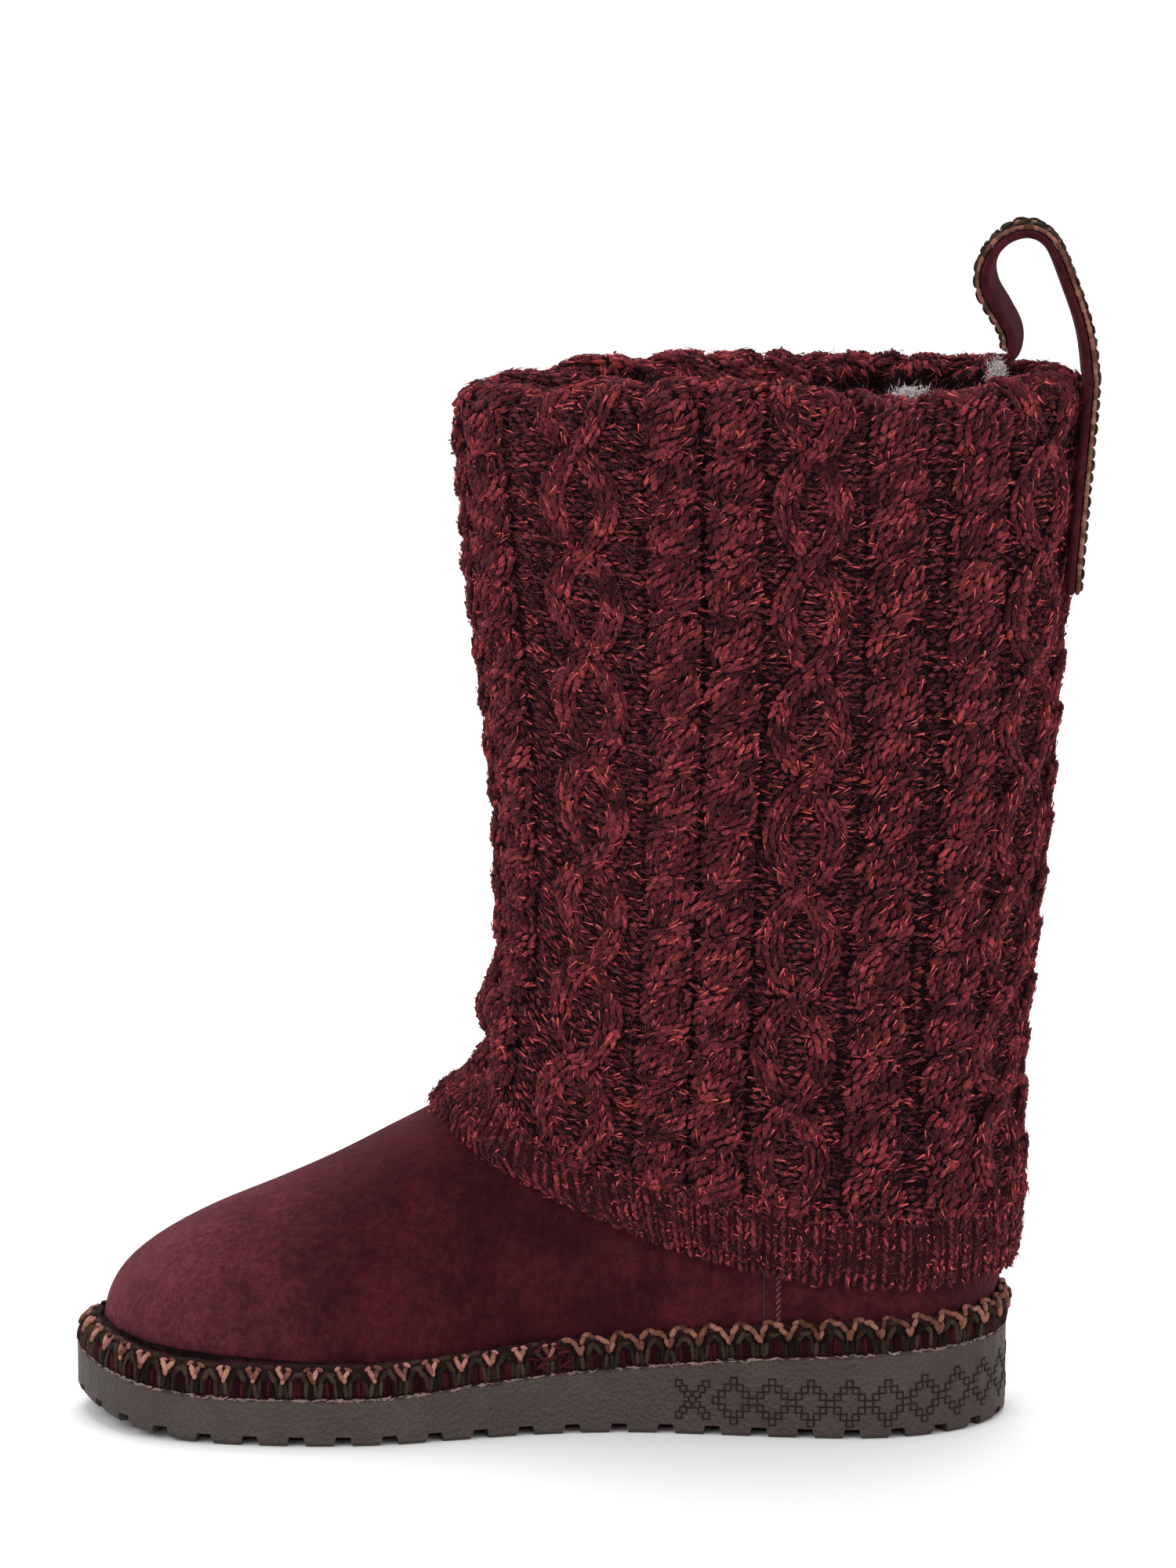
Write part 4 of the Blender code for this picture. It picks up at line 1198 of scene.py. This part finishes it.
def strand_legs():
    """Legs that run along the cables' strands: the cable's middle line, its
    side, row, millimetres across from that line, and their slope for each row."""
    found = []
    rows = np.arange(-9.0, CABLE_ROWS - RIB_ROWS - 0.5, 1.0)
    for kind, middle in COLUMNS:
        _, _, wide = CABLES[kind]
        for side in (1.0, -1.0) if 0.0 < middle < 1.0 else (1.0,):
            for sign in (1.0, -1.0):
                for step, across in enumerate((-0.78, -0.27, 0.27, 0.78)):
                    jitter = RNG.normal(0.0, 0.12, len(rows))
                    at = rows + 0.5 * (step % 2) + jitter
                    first, lift = swing(kind, at)
                    ahead = swing(kind, at + 0.2)[0]
                    other = -sign * first
                    mine = sign * first + across * wide
                    hidden = (sign * lift < -0.25) & (np.abs(mine - other) < wide * 0.8)
                    slope = np.clip(sign * (ahead - first) / 0.2, -5.0, 5.0)
                    lean = (0.9 if step % 2 else -0.9) + RNG.normal(0.0, 0.35, len(rows))
                    if kind == "rope":
                        lean = 0.3 * lean - 1.9
                    block = np.column_stack((
                        np.full(len(rows), middle), np.full(len(rows), side), at, mine, slope + lean,
                    ))
                    found.append(block[~hidden])
    return np.vstack(found)


def ground_legs(sleeve):
    """Purl bumps between the strands, in the same columns as the strands' legs."""
    found = []
    for step, row in enumerate(np.arange(-9.0, CABLE_ROWS - RIB_ROWS, 0.62)):
        girth = float(sleeve.girth_at(np.array([0.25]), np.array([row]))[0])
        count = int(girth / 3.1)
        share = (np.arange(count) + 0.5 * (step % 2)) / count + RNG.normal(0.0, 0.0004, count)
        found.append(np.column_stack((share, np.full(count, row) + RNG.normal(0.0, 0.12, count))))
    places = np.vstack(found)
    place = half_share(places[:, 0])
    girth = sleeve.girth_at(places[:, 0], places[:, 1])
    free = np.ones(len(places), bool)
    for kind, middle in COLUMNS:
        wide = CABLES[kind][2]
        across = (place - middle) * 0.5 * girth
        first = swing(kind, places[:, 1])[0]
        for sign in (1.0, -1.0):
            free &= np.abs(across - sign * first) > 0.86 * wide
    return places[free]


def rib_legs(sleeve):
    """Legs of the hem's single-stitch ribs."""
    girth = float(sleeve.girth.mean())
    count = int(round(girth / RIB_PITCH))
    rows = np.arange(CABLE_ROWS - RIB_ROWS - 1.0, CABLE_ROWS + 0.2, 0.85)
    found = []
    for rib in range(count):
        for side in (-1.0, 1.0):
            share = np.full(len(rows), rib / count) + side * 1.0 / girth
            at = rows + RNG.normal(0.0, 0.1, len(rows))
            found.append(np.column_stack((share, at, np.full(len(rows), side))))
    return np.vstack(found)


class BOOT_OT_knit(bpy.types.Operator):
    """Knit the sleeve: its ground, cables, ribbed hem and loose hairs"""

    bl_idname = "boot.knit"
    bl_label = "Cable-knit sleeve"

    def execute(self, context):
        looks = context.scene.boot_looks
        sleeve = Sleeve()
        ground = yarn_finish("knit_ground", KNIT_STOPS, srgb(150, 95, 100), 0.35)
        yarn = yarn_finish("marled_yarn", KNIT_STOPS, srgb(150, 92, 102), 1.1, 0.4)
        self.make_ground(sleeve, ground)
        self.make_yarn(sleeve, looks, yarn)
        self.make_hairs(sleeve, looks)
        return {"FINISHED"}

    def make_ground(self, sleeve, material):
        """The displaced skin under the stitches, closed along its hidden back. Its tint is painted shade:
        near black where it shows between the stitches, a little paler under the ribbed hem.
        """
        round_share = np.arange(SKIN_COLUMNS) / SKIN_COLUMNS
        share, rows = np.meshgrid(round_share, np.linspace(CABLE_ROWS, LAST_ROW, SKIN_ROWS))
        girth = sleeve.girth_at(share, rows)
        height = relief(share, rows, girth) * MM
        lip = ease(rows, CABLE_ROWS - 1.6, CABLE_ROWS)
        height -= 1.6 * MM * lip ** 2
        face = sleeve.read(sleeve.grid, share, rows)
        face = face + sleeve.read(sleeve.out, share, rows) * height[..., None]
        back_share, back_rows = np.meshgrid(round_share, np.linspace(LAST_ROW, CABLE_ROWS, SKIN_BACK_ROWS))
        deep = 3.1 * MM + 1.0 * MM * ease(CABLE_ROWS - back_rows, 4.0, 14.0)
        back = sleeve.read(sleeve.grid, back_share, back_rows)
        back -= sleeve.read(sleeve.out, back_share, back_rows) * deep[..., None]
        grid = np.concatenate((face, back))
        thing = grid_mesh("knit_ground", grid, material, closed_rows=True)
        tint = thing.data.attributes.new("tint", "FLOAT", "POINT")
        # Painted shade: the skin is tinted near black because the gaps between stitches lie in shade, and
        # a little paler under the hem's ribs.
        gutter_shade = np.full(grid.shape[:2], 0.03)
        gutter_shade[:len(face)] += 0.22 * rib_share(rows)
        tint.data.foreach_set("value", gutter_shade.reshape(-1))
        face_out(thing)
        keep(thing, "marled_knit", "knit_sleeve")

    def make_yarn(self, sleeve, looks, material):
        """Every leg of yarn, in a few pieces."""
        strands = strand_legs()
        middle, side, rows, across, slope = strands.T
        girth = sleeve.girth_at(0.5 * middle, rows)
        share = side * 0.5 * (middle + across / (0.5 * girth))
        bumps = ground_legs(sleeve)
        bump_slant = RNG.choice((-1.0, 1.0), len(bumps)) * 9.0
        ribs = rib_legs(sleeve)
        counts = (len(strands), len(bumps), len(ribs))
        share = np.concatenate((share, bumps[:, 0], ribs[:, 0]))
        rows = np.concatenate((rows, bumps[:, 1], ribs[:, 1]))
        slant = np.concatenate((side * slope / 2.6, bump_slant, -ribs[:, 2] * 0.38))
        slant = slant + RNG.normal(0.0, 0.12, len(share))
        thick = np.repeat((1.0, 0.72, 0.74), counts)
        long = np.repeat((1.0, 0.72, 0.72), counts) * RNG.uniform(0.75, 1.3, len(share))
        girth = sleeve.girth_at(share, rows)
        out = sleeve.read(sleeve.out, share, rows)
        height = relief(share, rows, girth) + RNG.uniform(-0.1, 0.3, len(share))
        places = sleeve.read(sleeve.grid, share, rows) + out * (height * MM)[:, None]
        level = sleeve.read(sleeve.round, share, rows) * slant[:, None]
        along = unit(-sleeve.read(sleeve.up, share, rows) + level)
        along = unit(along + out * RNG.normal(0.0, 0.12, len(share))[:, None])
        wide = looks.leg_width * thick * RNG.uniform(0.8, 1.2, len(share))
        sizes = np.column_stack((0.5 * looks.leg_length * long, 0.5 * wide, 0.5 * wide))
        tints = leg_tints(share, rows, height)
        is_bump = np.repeat((False, True, False), counts)
        order = np.argsort(share % 1.0)
        legs = order[~is_bump[order]]
        parts = [("knit_bumps", "bump", order[is_bump[order]])]
        for number, part in enumerate(np.array_split(legs, 2)):
            parts.append(("knit_yarn_%d" % (number + 1), "yarn", part))
        for label, template, part in parts:
            rows_of = [values[part] for values in (places, along, out, sizes, tints)]
            keep(laid(label, template, *rows_of, material), "marled_knit")
        self.make_flecks(looks, places, along, out, height, rows)

    def make_flecks(self, looks, places, along, out, height, rows):
        """Thin fibres of the marl's red, mauve and black plies along the legs."""
        count = looks.fleck_count
        leg = RNG.integers(0, len(places), count)
        across = unit(np.cross(along[leg], out[leg]))
        hem = rib_share(rows[leg])
        turn = (RNG.normal(0.0, 0.4, count) * (1.0 + 1.5 * hem))[:, None]
        way = unit(along[leg] + across * turn + out[leg] * RNG.normal(0.02, 0.10, count)[:, None])
        shift = RNG.normal(0.0, 1.0, (3, count))
        spots = places[leg] + along[leg] * (shift[0] * MM)[:, None]
        spots = spots + across * (shift[1] * 0.55 * MM)[:, None]
        spots = spots + out[leg] * ((0.74 + 0.08 * shift[2]) * MM)[:, None]
        wide = RNG.uniform(0.16, 0.40, count) * MM
        long = RNG.uniform(1.8, 4.8, count) * (1.0 - 0.5 * hem) * MM
        cross = unit(np.cross(way, out[leg]))
        tints = RNG.choice((0.06, 0.45, 0.66, 0.95), count, p=(0.28, 0.24, 0.20, 0.28))
        tints = tints * (0.35 + 0.65 * lit(height[leg])) + RNG.normal(0.0, 0.05, count)
        fibre = yarn_finish("marl_fibre", FLECK_STOPS, srgb(170, 90, 95), 0.3)
        sizes = np.column_stack((wide, wide, long))
        roots = spots - way * (0.5 * long)[:, None]
        thing = laid("knit_flecks", "hair", roots, cross, way, sizes, tints, fibre)
        keep(thing, "marled_knit")

    def make_hairs(self, sleeve, looks):
        """Loose hairs that stand a little off the knit."""
        count = looks.hair_count
        share = RNG.random(count)
        rows = RNG.uniform(-12.0, CABLE_ROWS, count)
        girth = sleeve.girth_at(share, rows)
        out = sleeve.read(sleeve.out, share, rows)
        height = (relief(share, rows, girth) + 0.3) * MM
        places = sleeve.read(sleeve.grid, share, rows) + out * height[:, None]
        turn = RNG.normal(0.0, 0.9, count)
        level = sleeve.read(sleeve.up, share, rows) * np.cos(turn)[:, None]
        level = level + sleeve.read(sleeve.round, share, rows) * np.sin(turn)[:, None]
        rise = np.abs(RNG.normal(0.25, 0.22, count))
        along = unit(level + out * rise[:, None])
        cross = unit(np.cross(along, out))
        long = RNG.uniform(2.0, 5.6, count) * MM
        wide = RNG.uniform(0.05, 0.11, count) * MM
        sizes = np.column_stack((wide, wide, long))
        tints = RNG.random(count)
        fuzz = yarn_finish("knit_hair", HAIR_STOPS, srgb(200, 150, 150), 0.2)
        thing = laid("knit_hairs", "hair", places, cross, along, sizes, tints, fuzz)
        keep(thing, "marled_knit")


# The knit's colours by tint. The near-black low end is reached by the painted shade of the skin and of the
# legs down in the gutters.
KNIT_STOPS = (
    (0.00, srgb(10, 3, 5)),
    (0.22, srgb(38, 12, 16)),
    (0.45, srgb(68, 24, 28)),
    (0.70, srgb(110, 42, 46)),
    (1.00, srgb(178, 72, 74)),
)
FLECK_STOPS = (
    (0.00, srgb(18, 8, 11)),
    (0.40, srgb(70, 25, 32)),
    (0.62, srgb(98, 54, 62)),
    (0.85, srgb(178, 62, 64)),
    (1.00, srgb(214, 98, 94)),
)
HAIR_STOPS = (
    (0.0, srgb(32, 17, 21)),
    (0.6, srgb(88, 50, 56)),
    (1.0, srgb(162, 84, 86)),
)


class BOOT_OT_braid(bpy.types.Operator):
    """Crochet the three-colour braid round the welt"""

    bl_idname = "boot.braid"
    bl_label = "Welt braid"

    def execute(self, context):
        welt = Welt()
        wine = yarn_finish("braid_wine", WINE_STOPS, srgb(100, 50, 55), 1.0)
        olive = yarn_finish("braid_olive", OLIVE_STOPS, srgb(110, 95, 80), 1.1)
        peach = yarn_finish("braid_peach", PEACH_STOPS, srgb(170, 120, 105), 1.2)
        # Painted shade: the braid's ground is dark wine, for the shade in the gaps between the yarns and
        # to pass for the shaded suede just above them.
        dark = plain_finish("braid_ground_shade", srgb(22, 8, 10), srgb(40, 15, 19), 900.0, 0.95, 0.0)
        ground = merged_copy("welt_braid", "braid_ground_shade", dark)
        keep(ground, "braid_yarn", "welt_braid")
        count = round(welt.length / (BRAID_PITCH * MM))
        starts = np.arange(count) / count * welt.length
        x = welt.at(welt.edge, starts)[:, 0]
        heel = x > BRAID_JOIN
        yarns = {"wine": wine, "olive": olive, "peach": peach}
        for name in ("wine", "olive"):
            legs = [leg for leg in BRAID_BASE if leg[0] == name]
            thing = lay_legs("braid_" + name, welt, legs, starts, yarns[name])
            keep(thing, "braid_yarn")
        front = lay_legs("braid_peach_front", welt, BRAID_FRONT, starts[~heel], peach, 0.55)
        keep(front, "braid_yarn")
        brown = yarn_finish("braid_peach_heel", HEEL_PEACH_STOPS, srgb(150, 105, 90), 1.2)
        back = lay_legs("braid_peach_heel", welt, BRAID_HEEL, starts[heel], brown, 0.75)
        keep(back, "braid_yarn")
        self.lay_join(welt)
        self.lay_glue(welt)
        return {"FINISHED"}

    def lay_join(self, welt):
        """Loose threads where the two ends of the braid meet on the inner side."""
        step = np.argmin(np.hypot(welt.edge[:, 0] - BRAID_JOIN, welt.edge[:, 1] + 0.04))
        near = step / welt.STEPS * welt.length
        legs = []
        for _ in range(LOOSE_THREADS):
            along = RNG.uniform(-7.5, 5.0)
            up = RNG.uniform(1.0, 9.4)
            end = along + RNG.uniform(1.5, 4.5)
            legs.append(("loose", along, up, end, up + RNG.uniform(-1.0, 3.4), 0.7))
        loose = yarn_finish("loose_thread", LOOSE_STOPS, srgb(130, 70, 78), 0.4)
        thing = lay_legs("braid_join", welt, legs, np.array([near]), loose, 1.6)
        keep(thing, "braid_yarn")

    def lay_glue(self, welt):
        """Ragged pale line of glue and thread ends where braid meets sole."""
        count = GLUE_SPECKS
        along = RNG.random(count) * welt.length
        out = welt.at(welt.out, along)
        flat = welt.at(welt.edge, along)
        top = welt.at(welt.top[:, None], along)[:, 0]
        places = np.column_stack((flat, top + RNG.normal(-0.1, 0.22, count) * MM)) - out * 0.25 * MM
        tilt = np.array((0.0, 0.0, 1.0)) * RNG.normal(0.0, 0.3, count)[:, None]
        run = welt.at(welt.along, along) + tilt
        long = RNG.uniform(0.5, 1.9, count) * MM
        wide = RNG.uniform(0.16, 0.34, count) * MM
        glue = plain_finish("glue_line", srgb(86, 66, 62), srgb(142, 114, 106), 700.0, 0.8)
        sizes = np.column_stack((long, wide, wide))
        thing = laid("glue_line", "yarn", places, run, out, sizes, np.zeros(count), glue)
        keep(thing, "braid_yarn")


def strap_line(steps):
    """Points of the strap's middle line, with its outward and sideways directions."""
    route = through(STRAP_ROUTE, steps)
    way = unit(np.gradient(route[:, :2], axis=0))
    out = np.column_stack((-way[:, 1], np.zeros(len(way)), way[:, 0]))
    side = np.tile((0.0, 1.0, 0.0), (len(way), 1))
    turn = np.radians(route[:, 2])[:, None]
    turned_out = out * np.cos(turn) + side * np.sin(turn)
    turned_side = side * np.cos(turn) - out * np.sin(turn)
    middle = np.column_stack((route[:, 0], np.full(len(route), LEG_Y), route[:, 1]))
    return middle, turned_out, turned_side


BAND_CORNER = 0.55  # 1 would be an ellipse, less is squarer


def band(label, lines, width, thickness, off, material):
    """A soft flat band with rounded edges swept along a line, its ends closed."""
    middle, out, side = lines
    angles = np.linspace(0.0, 2.0 * math.pi, 20, endpoint=False)
    across = np.sign(np.cos(angles)) * np.abs(np.cos(angles)) ** 0.35
    deep = np.sign(np.sin(angles)) * np.abs(np.sin(angles)) ** BAND_CORNER
    ends = np.ones(len(middle))
    ends[0] = ends[-1] = 0.55
    middle = middle + out * off
    spread = side[:, None] * (0.5 * width * across)[None, :, None] * (0.5 + 0.5 * ends)[:, None, None]
    rings = middle[:, None] + spread
    rings = rings + out[:, None] * (0.5 * thickness * deep)[None, :, None] * ends[:, None, None]
    first = middle[0] * np.ones((1, 20, 3))
    last = middle[-1] * np.ones((1, 20, 3))
    grid = np.concatenate((first, rings, last))
    thing = grid_mesh(label, grid, material)
    face_out(thing, 0.001 * MM)
    return thing


class BOOT_OT_loop(bpy.types.Operator):
    """Make the suede pull loop and the crocheted ribbon on its outer face"""

    bl_idname = "boot.loop"
    bl_label = "Pull loop"

    def execute(self, context):
        looks = context.scene.boot_looks
        suede = suede_finish("strap_suede", tuple(looks.suede), srgb(130, 70, 80), 0.85)
        lines = strap_line(8)
        strap = band("suede_loop", lines, STRAP_WIDTH, STRAP_THICKNESS, 0.0, suede)
        keep(strap, "strap_suede", "pull_loop")
        ribbon_lines = tuple(part[RIBBON_START:] for part in lines)
        olive = yarn_finish("ribbon_olive", OLIVE_STOPS, srgb(120, 105, 85), 0.5)
        peach = yarn_finish("ribbon_peach", HEEL_PEACH_STOPS, srgb(210, 160, 140), 0.5)
        off = 0.5 * STRAP_THICKNESS + 0.9 * MM
        ribbon = band("ribbon_ground", ribbon_lines, RIBBON_WIDTH, 1.5 * MM, off - 0.1 * MM, olive)
        keep(ribbon, "loop_ribbon", "loop_ribbon")
        self.crochet(ribbon_lines, off, olive, peach)
        return {"FINISHED"}

    def crochet(self, lines, off, olive, peach):
        """Yarn of the ribbon: a zigzag down its face and loops along its edges."""
        middle, out, side = lines
        arc = arc_of(middle)
        pitch = 3.6 * MM
        starts = np.arange(0.6 * pitch, arc[-1] - 0.5 * pitch, pitch)
        table = (
            ("peach", 0.0, -5.6, 1.8, -1.2, 1.3),
            ("peach", 1.8, -1.2, 0.2, 1.2, 1.3),
            ("peach", 0.2, 1.2, 1.8, 5.6, 1.3),
            ("peach", 0.0, -8.5, 1.9, -8.9, 1.4),
            ("peach", 0.0, 8.5, 1.9, 8.9, 1.4),
            ("peach", 1.7, -8.9, 3.6, -8.5, 1.4),
            ("peach", 1.7, 8.9, 3.6, 8.5, 1.4),
            ("olive", 0.5, -7.9, 2.6, -7.9, 1.8),
            ("olive", 0.5, 7.9, 2.6, 7.9, 1.8),
            ("olive", 0.8, -7.0, 2.2, -4.0, 1.2),
            ("olive", 0.8, 7.0, 2.2, 4.0, 1.2),
            ("olive", 2.2, -3.6, 3.4, 0.0, 1.2),
            ("olive", 3.4, 0.0, 2.2, 3.6, 1.2),
        )
        for name, material in (("peach", peach), ("olive", olive)):
            legs = np.array([leg[1:] for leg in table if leg[0] == name]) * MM
            run0 = (starts[:, None] + legs[None, :, 0]).reshape(-1)
            run1 = (starts[:, None] + legs[None, :, 2]).reshape(-1)
            across0 = np.tile(legs[:, 1], len(starts)) + RNG.normal(0.0, 0.2 * MM, len(run0))
            across1 = np.tile(legs[:, 3], len(starts)) + RNG.normal(0.0, 0.2 * MM, len(run0))
            width = np.tile(legs[:, 4], len(starts)) * RNG.uniform(0.85, 1.15, len(run0))
            ends = []
            for run, across in ((run0, across0), (run1, across1)):
                spot = along_line(run, arc, middle)
                outs = unit(along_line(run, arc, out))
                sides = unit(along_line(run, arc, side))
                edge = ease(np.abs(across), 6.8 * MM, 8.0 * MM)
                lift = off + (0.55 * (1.0 - edge) + (0.6 if name == "olive" else -0.1)) * MM
                ends.append((spot + sides * across[:, None] + outs * lift[:, None], outs))
            span = ends[1][0] - ends[0][0]
            half_long = 0.5 * np.linalg.norm(span, axis=1) + 0.4 * width
            sizes = np.column_stack((half_long, 0.5 * width, 0.5 * width))
            thing = laid(
                "ribbon_" + name, "cord", 0.5 * (ends[0][0] + ends[1][0]), unit(span), ends[0][1],
                sizes, RNG.random(len(width)), material,
            )
            keep(thing, "loop_ribbon")


class BOOT_OT_fleece(bpy.types.Operator):
    """Raise the lining's pile near the collar, with the tufts that show over the rim"""

    bl_idname = "boot.fleece"
    bl_label = "Fleece lining"

    def execute(self, context):
        upper = surface_of("upper")
        pale = yarn_finish("fleece_pile", PILE_STOPS, srgb(240, 235, 235), 0.3)
        angle = RNG.random(PILE_STRANDS) * 2.0 * math.pi
        height = RNG.uniform(0.235, 0.292, PILE_STRANDS)
        places, out = [], []
        for turn, z in zip(angle, height):
            way = Vector(level_way(turn))
            spot = upper.ray_cast(Vector((LEG_X, LEG_Y, z)), way, 0.2)[0]
            if spot is None:
                continue
            places.append(np.array(spot))
            out.append(-np.array(way))
        places = settled(np.array(places))
        out = np.array(out)
        self.pile("fleece_pile", places, out, 3.6, 0.75, pale)
        spots, ups = [], []
        for x, y, z, wide, high, hairs in TUFTS:
            spread = RNG.normal(0.0, 1.0, (hairs, 3)) * (wide * 0.30, 0.0016, high * 0.30)
            spots.append(np.array((x, y, z)) + spread)
            ups.append(unit(RNG.normal(0.0, 1.0, (hairs, 3)) + np.array((0.0, -0.15, 0.5))))
        self.pile("fleece_tufts", np.vstack(spots), np.vstack(ups), 2.1, 0.26, pale, "hair")
        return {"FINISHED"}

    def pile(self, label, places, out, long, wide, material, template="yarn"):
        """Curled strands or fine hairs that stand on points."""
        count = len(places)
        along = unit(out + RNG.normal(0.0, 0.45, (count, 3)))
        cross = unit(np.cross(along, RNG.normal(0.0, 1.0, (count, 3))))
        length = 0.5 * long * MM * RNG.uniform(0.6, 1.3, count)
        half = 0.5 * wide * MM * RNG.uniform(0.7, 1.3, count)
        tints = RNG.random(count)
        if template == "hair":
            sizes = np.column_stack((half, half, 2.0 * length))
            thing = laid(label, "hair", places, cross, along, sizes, tints, material)
        else:
            sizes = np.column_stack((length, half, half))
            middle = places + along * (0.7 * length)[:, None]
            thing = laid(label, "yarn", middle, along, cross, sizes, tints, material)
        keep(thing, "insole_felt")


PILE_STRANDS = 2000  # of the lining's pile below the collar
# Tufts of the lining that show over the near rim: place, width, height, hairs.
TUFTS = (
    (0.1080, -0.0285, 0.3095, 0.0090, 0.0046, 1500),
    (0.1338, -0.0185, 0.3145, 0.0036, 0.0066, 1000),
)
WINE_STOPS = ((0.0, srgb(18, 5, 7)), (0.5, srgb(34, 8, 11)), (1.0, srgb(54, 16, 20)))
LOOSE_STOPS = ((0.0, srgb(26, 8, 11)), (0.5, srgb(50, 16, 21)), (1.0, srgb(74, 28, 35)))
OLIVE_STOPS = ((0.0, srgb(16, 12, 10)), (0.5, srgb(36, 29, 23)), (1.0, srgb(58, 47, 38)))
PEACH_STOPS = ((0.0, srgb(74, 44, 38)), (0.5, srgb(128, 84, 74)), (1.0, srgb(164, 116, 104)))
HEEL_PEACH_STOPS = ((0.0, srgb(62, 36, 29)), (0.5, srgb(106, 68, 56)), (1.0, srgb(138, 94, 80)))
PILE_STOPS = ((0.0, srgb(168, 160, 161)), (0.5, srgb(200, 192, 193)), (1.0, srgb(224, 218, 218)))


# The camera that the photograph's angle asks for, and the floor's sweep up into
# a backdrop, which starts farther back than the camera of any view stands.
LENS = 172.75
CAMERA_PLACE = (0.014, -2.207, 0.5797)
CAMERA_DIP = 10.0  # degrees below level
SWEEP_START = 2.7
SWEEP = 0.9


class BOOT_OT_stage(bpy.types.Operator):
    """Set the pale floor, the soft lights and the camera"""

    bl_idname = "boot.stage"
    bl_label = "Stage"

    def execute(self, context):
        paper = Finish("pale_floor", 0.85, specular=0.1)
        tones = ((0.0, (0.80, 0.795, 0.80, 1.0)), (1.0, (0.82, 0.815, 0.82, 1.0)))
        paper.colour(paper.ramp(paper.noise(3.0), tones))
        profile = [(-6.5, 0.0), (SWEEP_START, 0.0)]
        for turn in np.linspace(0.15, 0.5 * math.pi, 10):
            profile.append((SWEEP_START + SWEEP * math.sin(turn), SWEEP - SWEEP * math.cos(turn)))
        profile.append((SWEEP_START + SWEEP, 5.0))
        points = []
        for side in (-5.0, 5.0):
            points += [(side, y, z) for y, z in profile]
        count = len(profile)
        faces = [(i, i + count, i + count + 1, i + 1) for i in range(count - 1)]
        floor = link_mesh("floor", points, faces, paper.material)
        self.add_lights()
        camera = added("camera", bpy.data.cameras.new("camera"))
        camera.data.lens = LENS
        camera.data.sensor_width = 36.0
        camera.data.clip_end = 50.0
        camera.location = CAMERA_PLACE
        camera.rotation_euler = (math.radians(90.0 - CAMERA_DIP), 0.0, 0.0)
        context.scene.camera = camera
        context.scene.view_settings.view_transform = "Standard"
        return {"FINISHED"}

    def add_lights(self):
        """Soft lamps: a key from the upper left, a fill, one above, one for the backdrop."""
        boot = (0.02, 0.0, 0.15)
        lamps = (
            ("key_light", (-1.4, -1.9, 1.7), boot, 2.0, 42.0),
            ("fill_light", (1.7, -1.6, 0.9), boot, 1.6, 20.0),
            ("top_light", (0.0, 0.8, 2.3), boot, 2.0, 46.0),
            ("back_light", (0.0, 1.9, 2.4), (0.0, 3.1, 0.3), 1.6, 24.0),
        )
        for label, place, target, size, power in lamps:
            lamp = bpy.data.lights.new(label, "AREA")
            lamp.size = size
            lamp.energy = power
            thing = added(label, lamp)
            thing.location = place
            aim = Vector(target) - Vector(place)
            thing.rotation_euler = aim.to_track_quat("-Z", "Y").to_euler()
        world = bpy.data.worlds.new("studio")
        world.use_nodes = True
        sky = world.node_tree.nodes["Background"]
        sky.inputs["Color"].default_value = (1.0, 1.0, 1.0, 1.0)
        sky.inputs["Strength"].default_value = 0.75
        bpy.context.scene.world = world


class BOOT_PT_looks(bpy.types.Panel):
    """The boot's pieces and colours"""

    bl_idname = "BOOT_PT_looks"
    bl_label = "Knit boot"
    bl_space_type = "VIEW_3D"
    bl_region_type = "UI"
    bl_category = "Boot"

    def draw(self, context):
        looks = context.scene.boot_looks
        for name in LookSettings.__annotations__:
            self.layout.prop(looks, name)
        for step in STEPS:
            self.layout.operator(step.bl_idname)


STEPS = (
    BOOT_OT_outsole, BOOT_OT_upper, BOOT_OT_knit, BOOT_OT_braid, BOOT_OT_loop, BOOT_OT_fleece,
    BOOT_OT_stage,
)
CLASSES = (LookSettings, *STEPS, BOOT_PT_looks)


def register():
    """Add the settings, the operators and the panel."""
    for kind in CLASSES:
        bpy.utils.register_class(kind)
    bpy.types.Scene.boot_looks = bpy.props.PointerProperty(type=LookSettings)


def unregister():
    """Take them out again."""
    del bpy.types.Scene.boot_looks
    for kind in reversed(CLASSES):
        bpy.utils.unregister_class(kind)


def main():
    """Build every piece in order."""
    register()
    for template in TEMPLATES:
        TREES[template] = stitch_tree(template)
    bpy.ops.boot.outsole()
    bpy.ops.boot.upper()
    bpy.ops.boot.knit()
    bpy.ops.boot.braid()
    bpy.ops.boot.loop()
    bpy.ops.boot.fleece()
    bpy.ops.boot.stage()


if __name__ == "__main__":
    main()
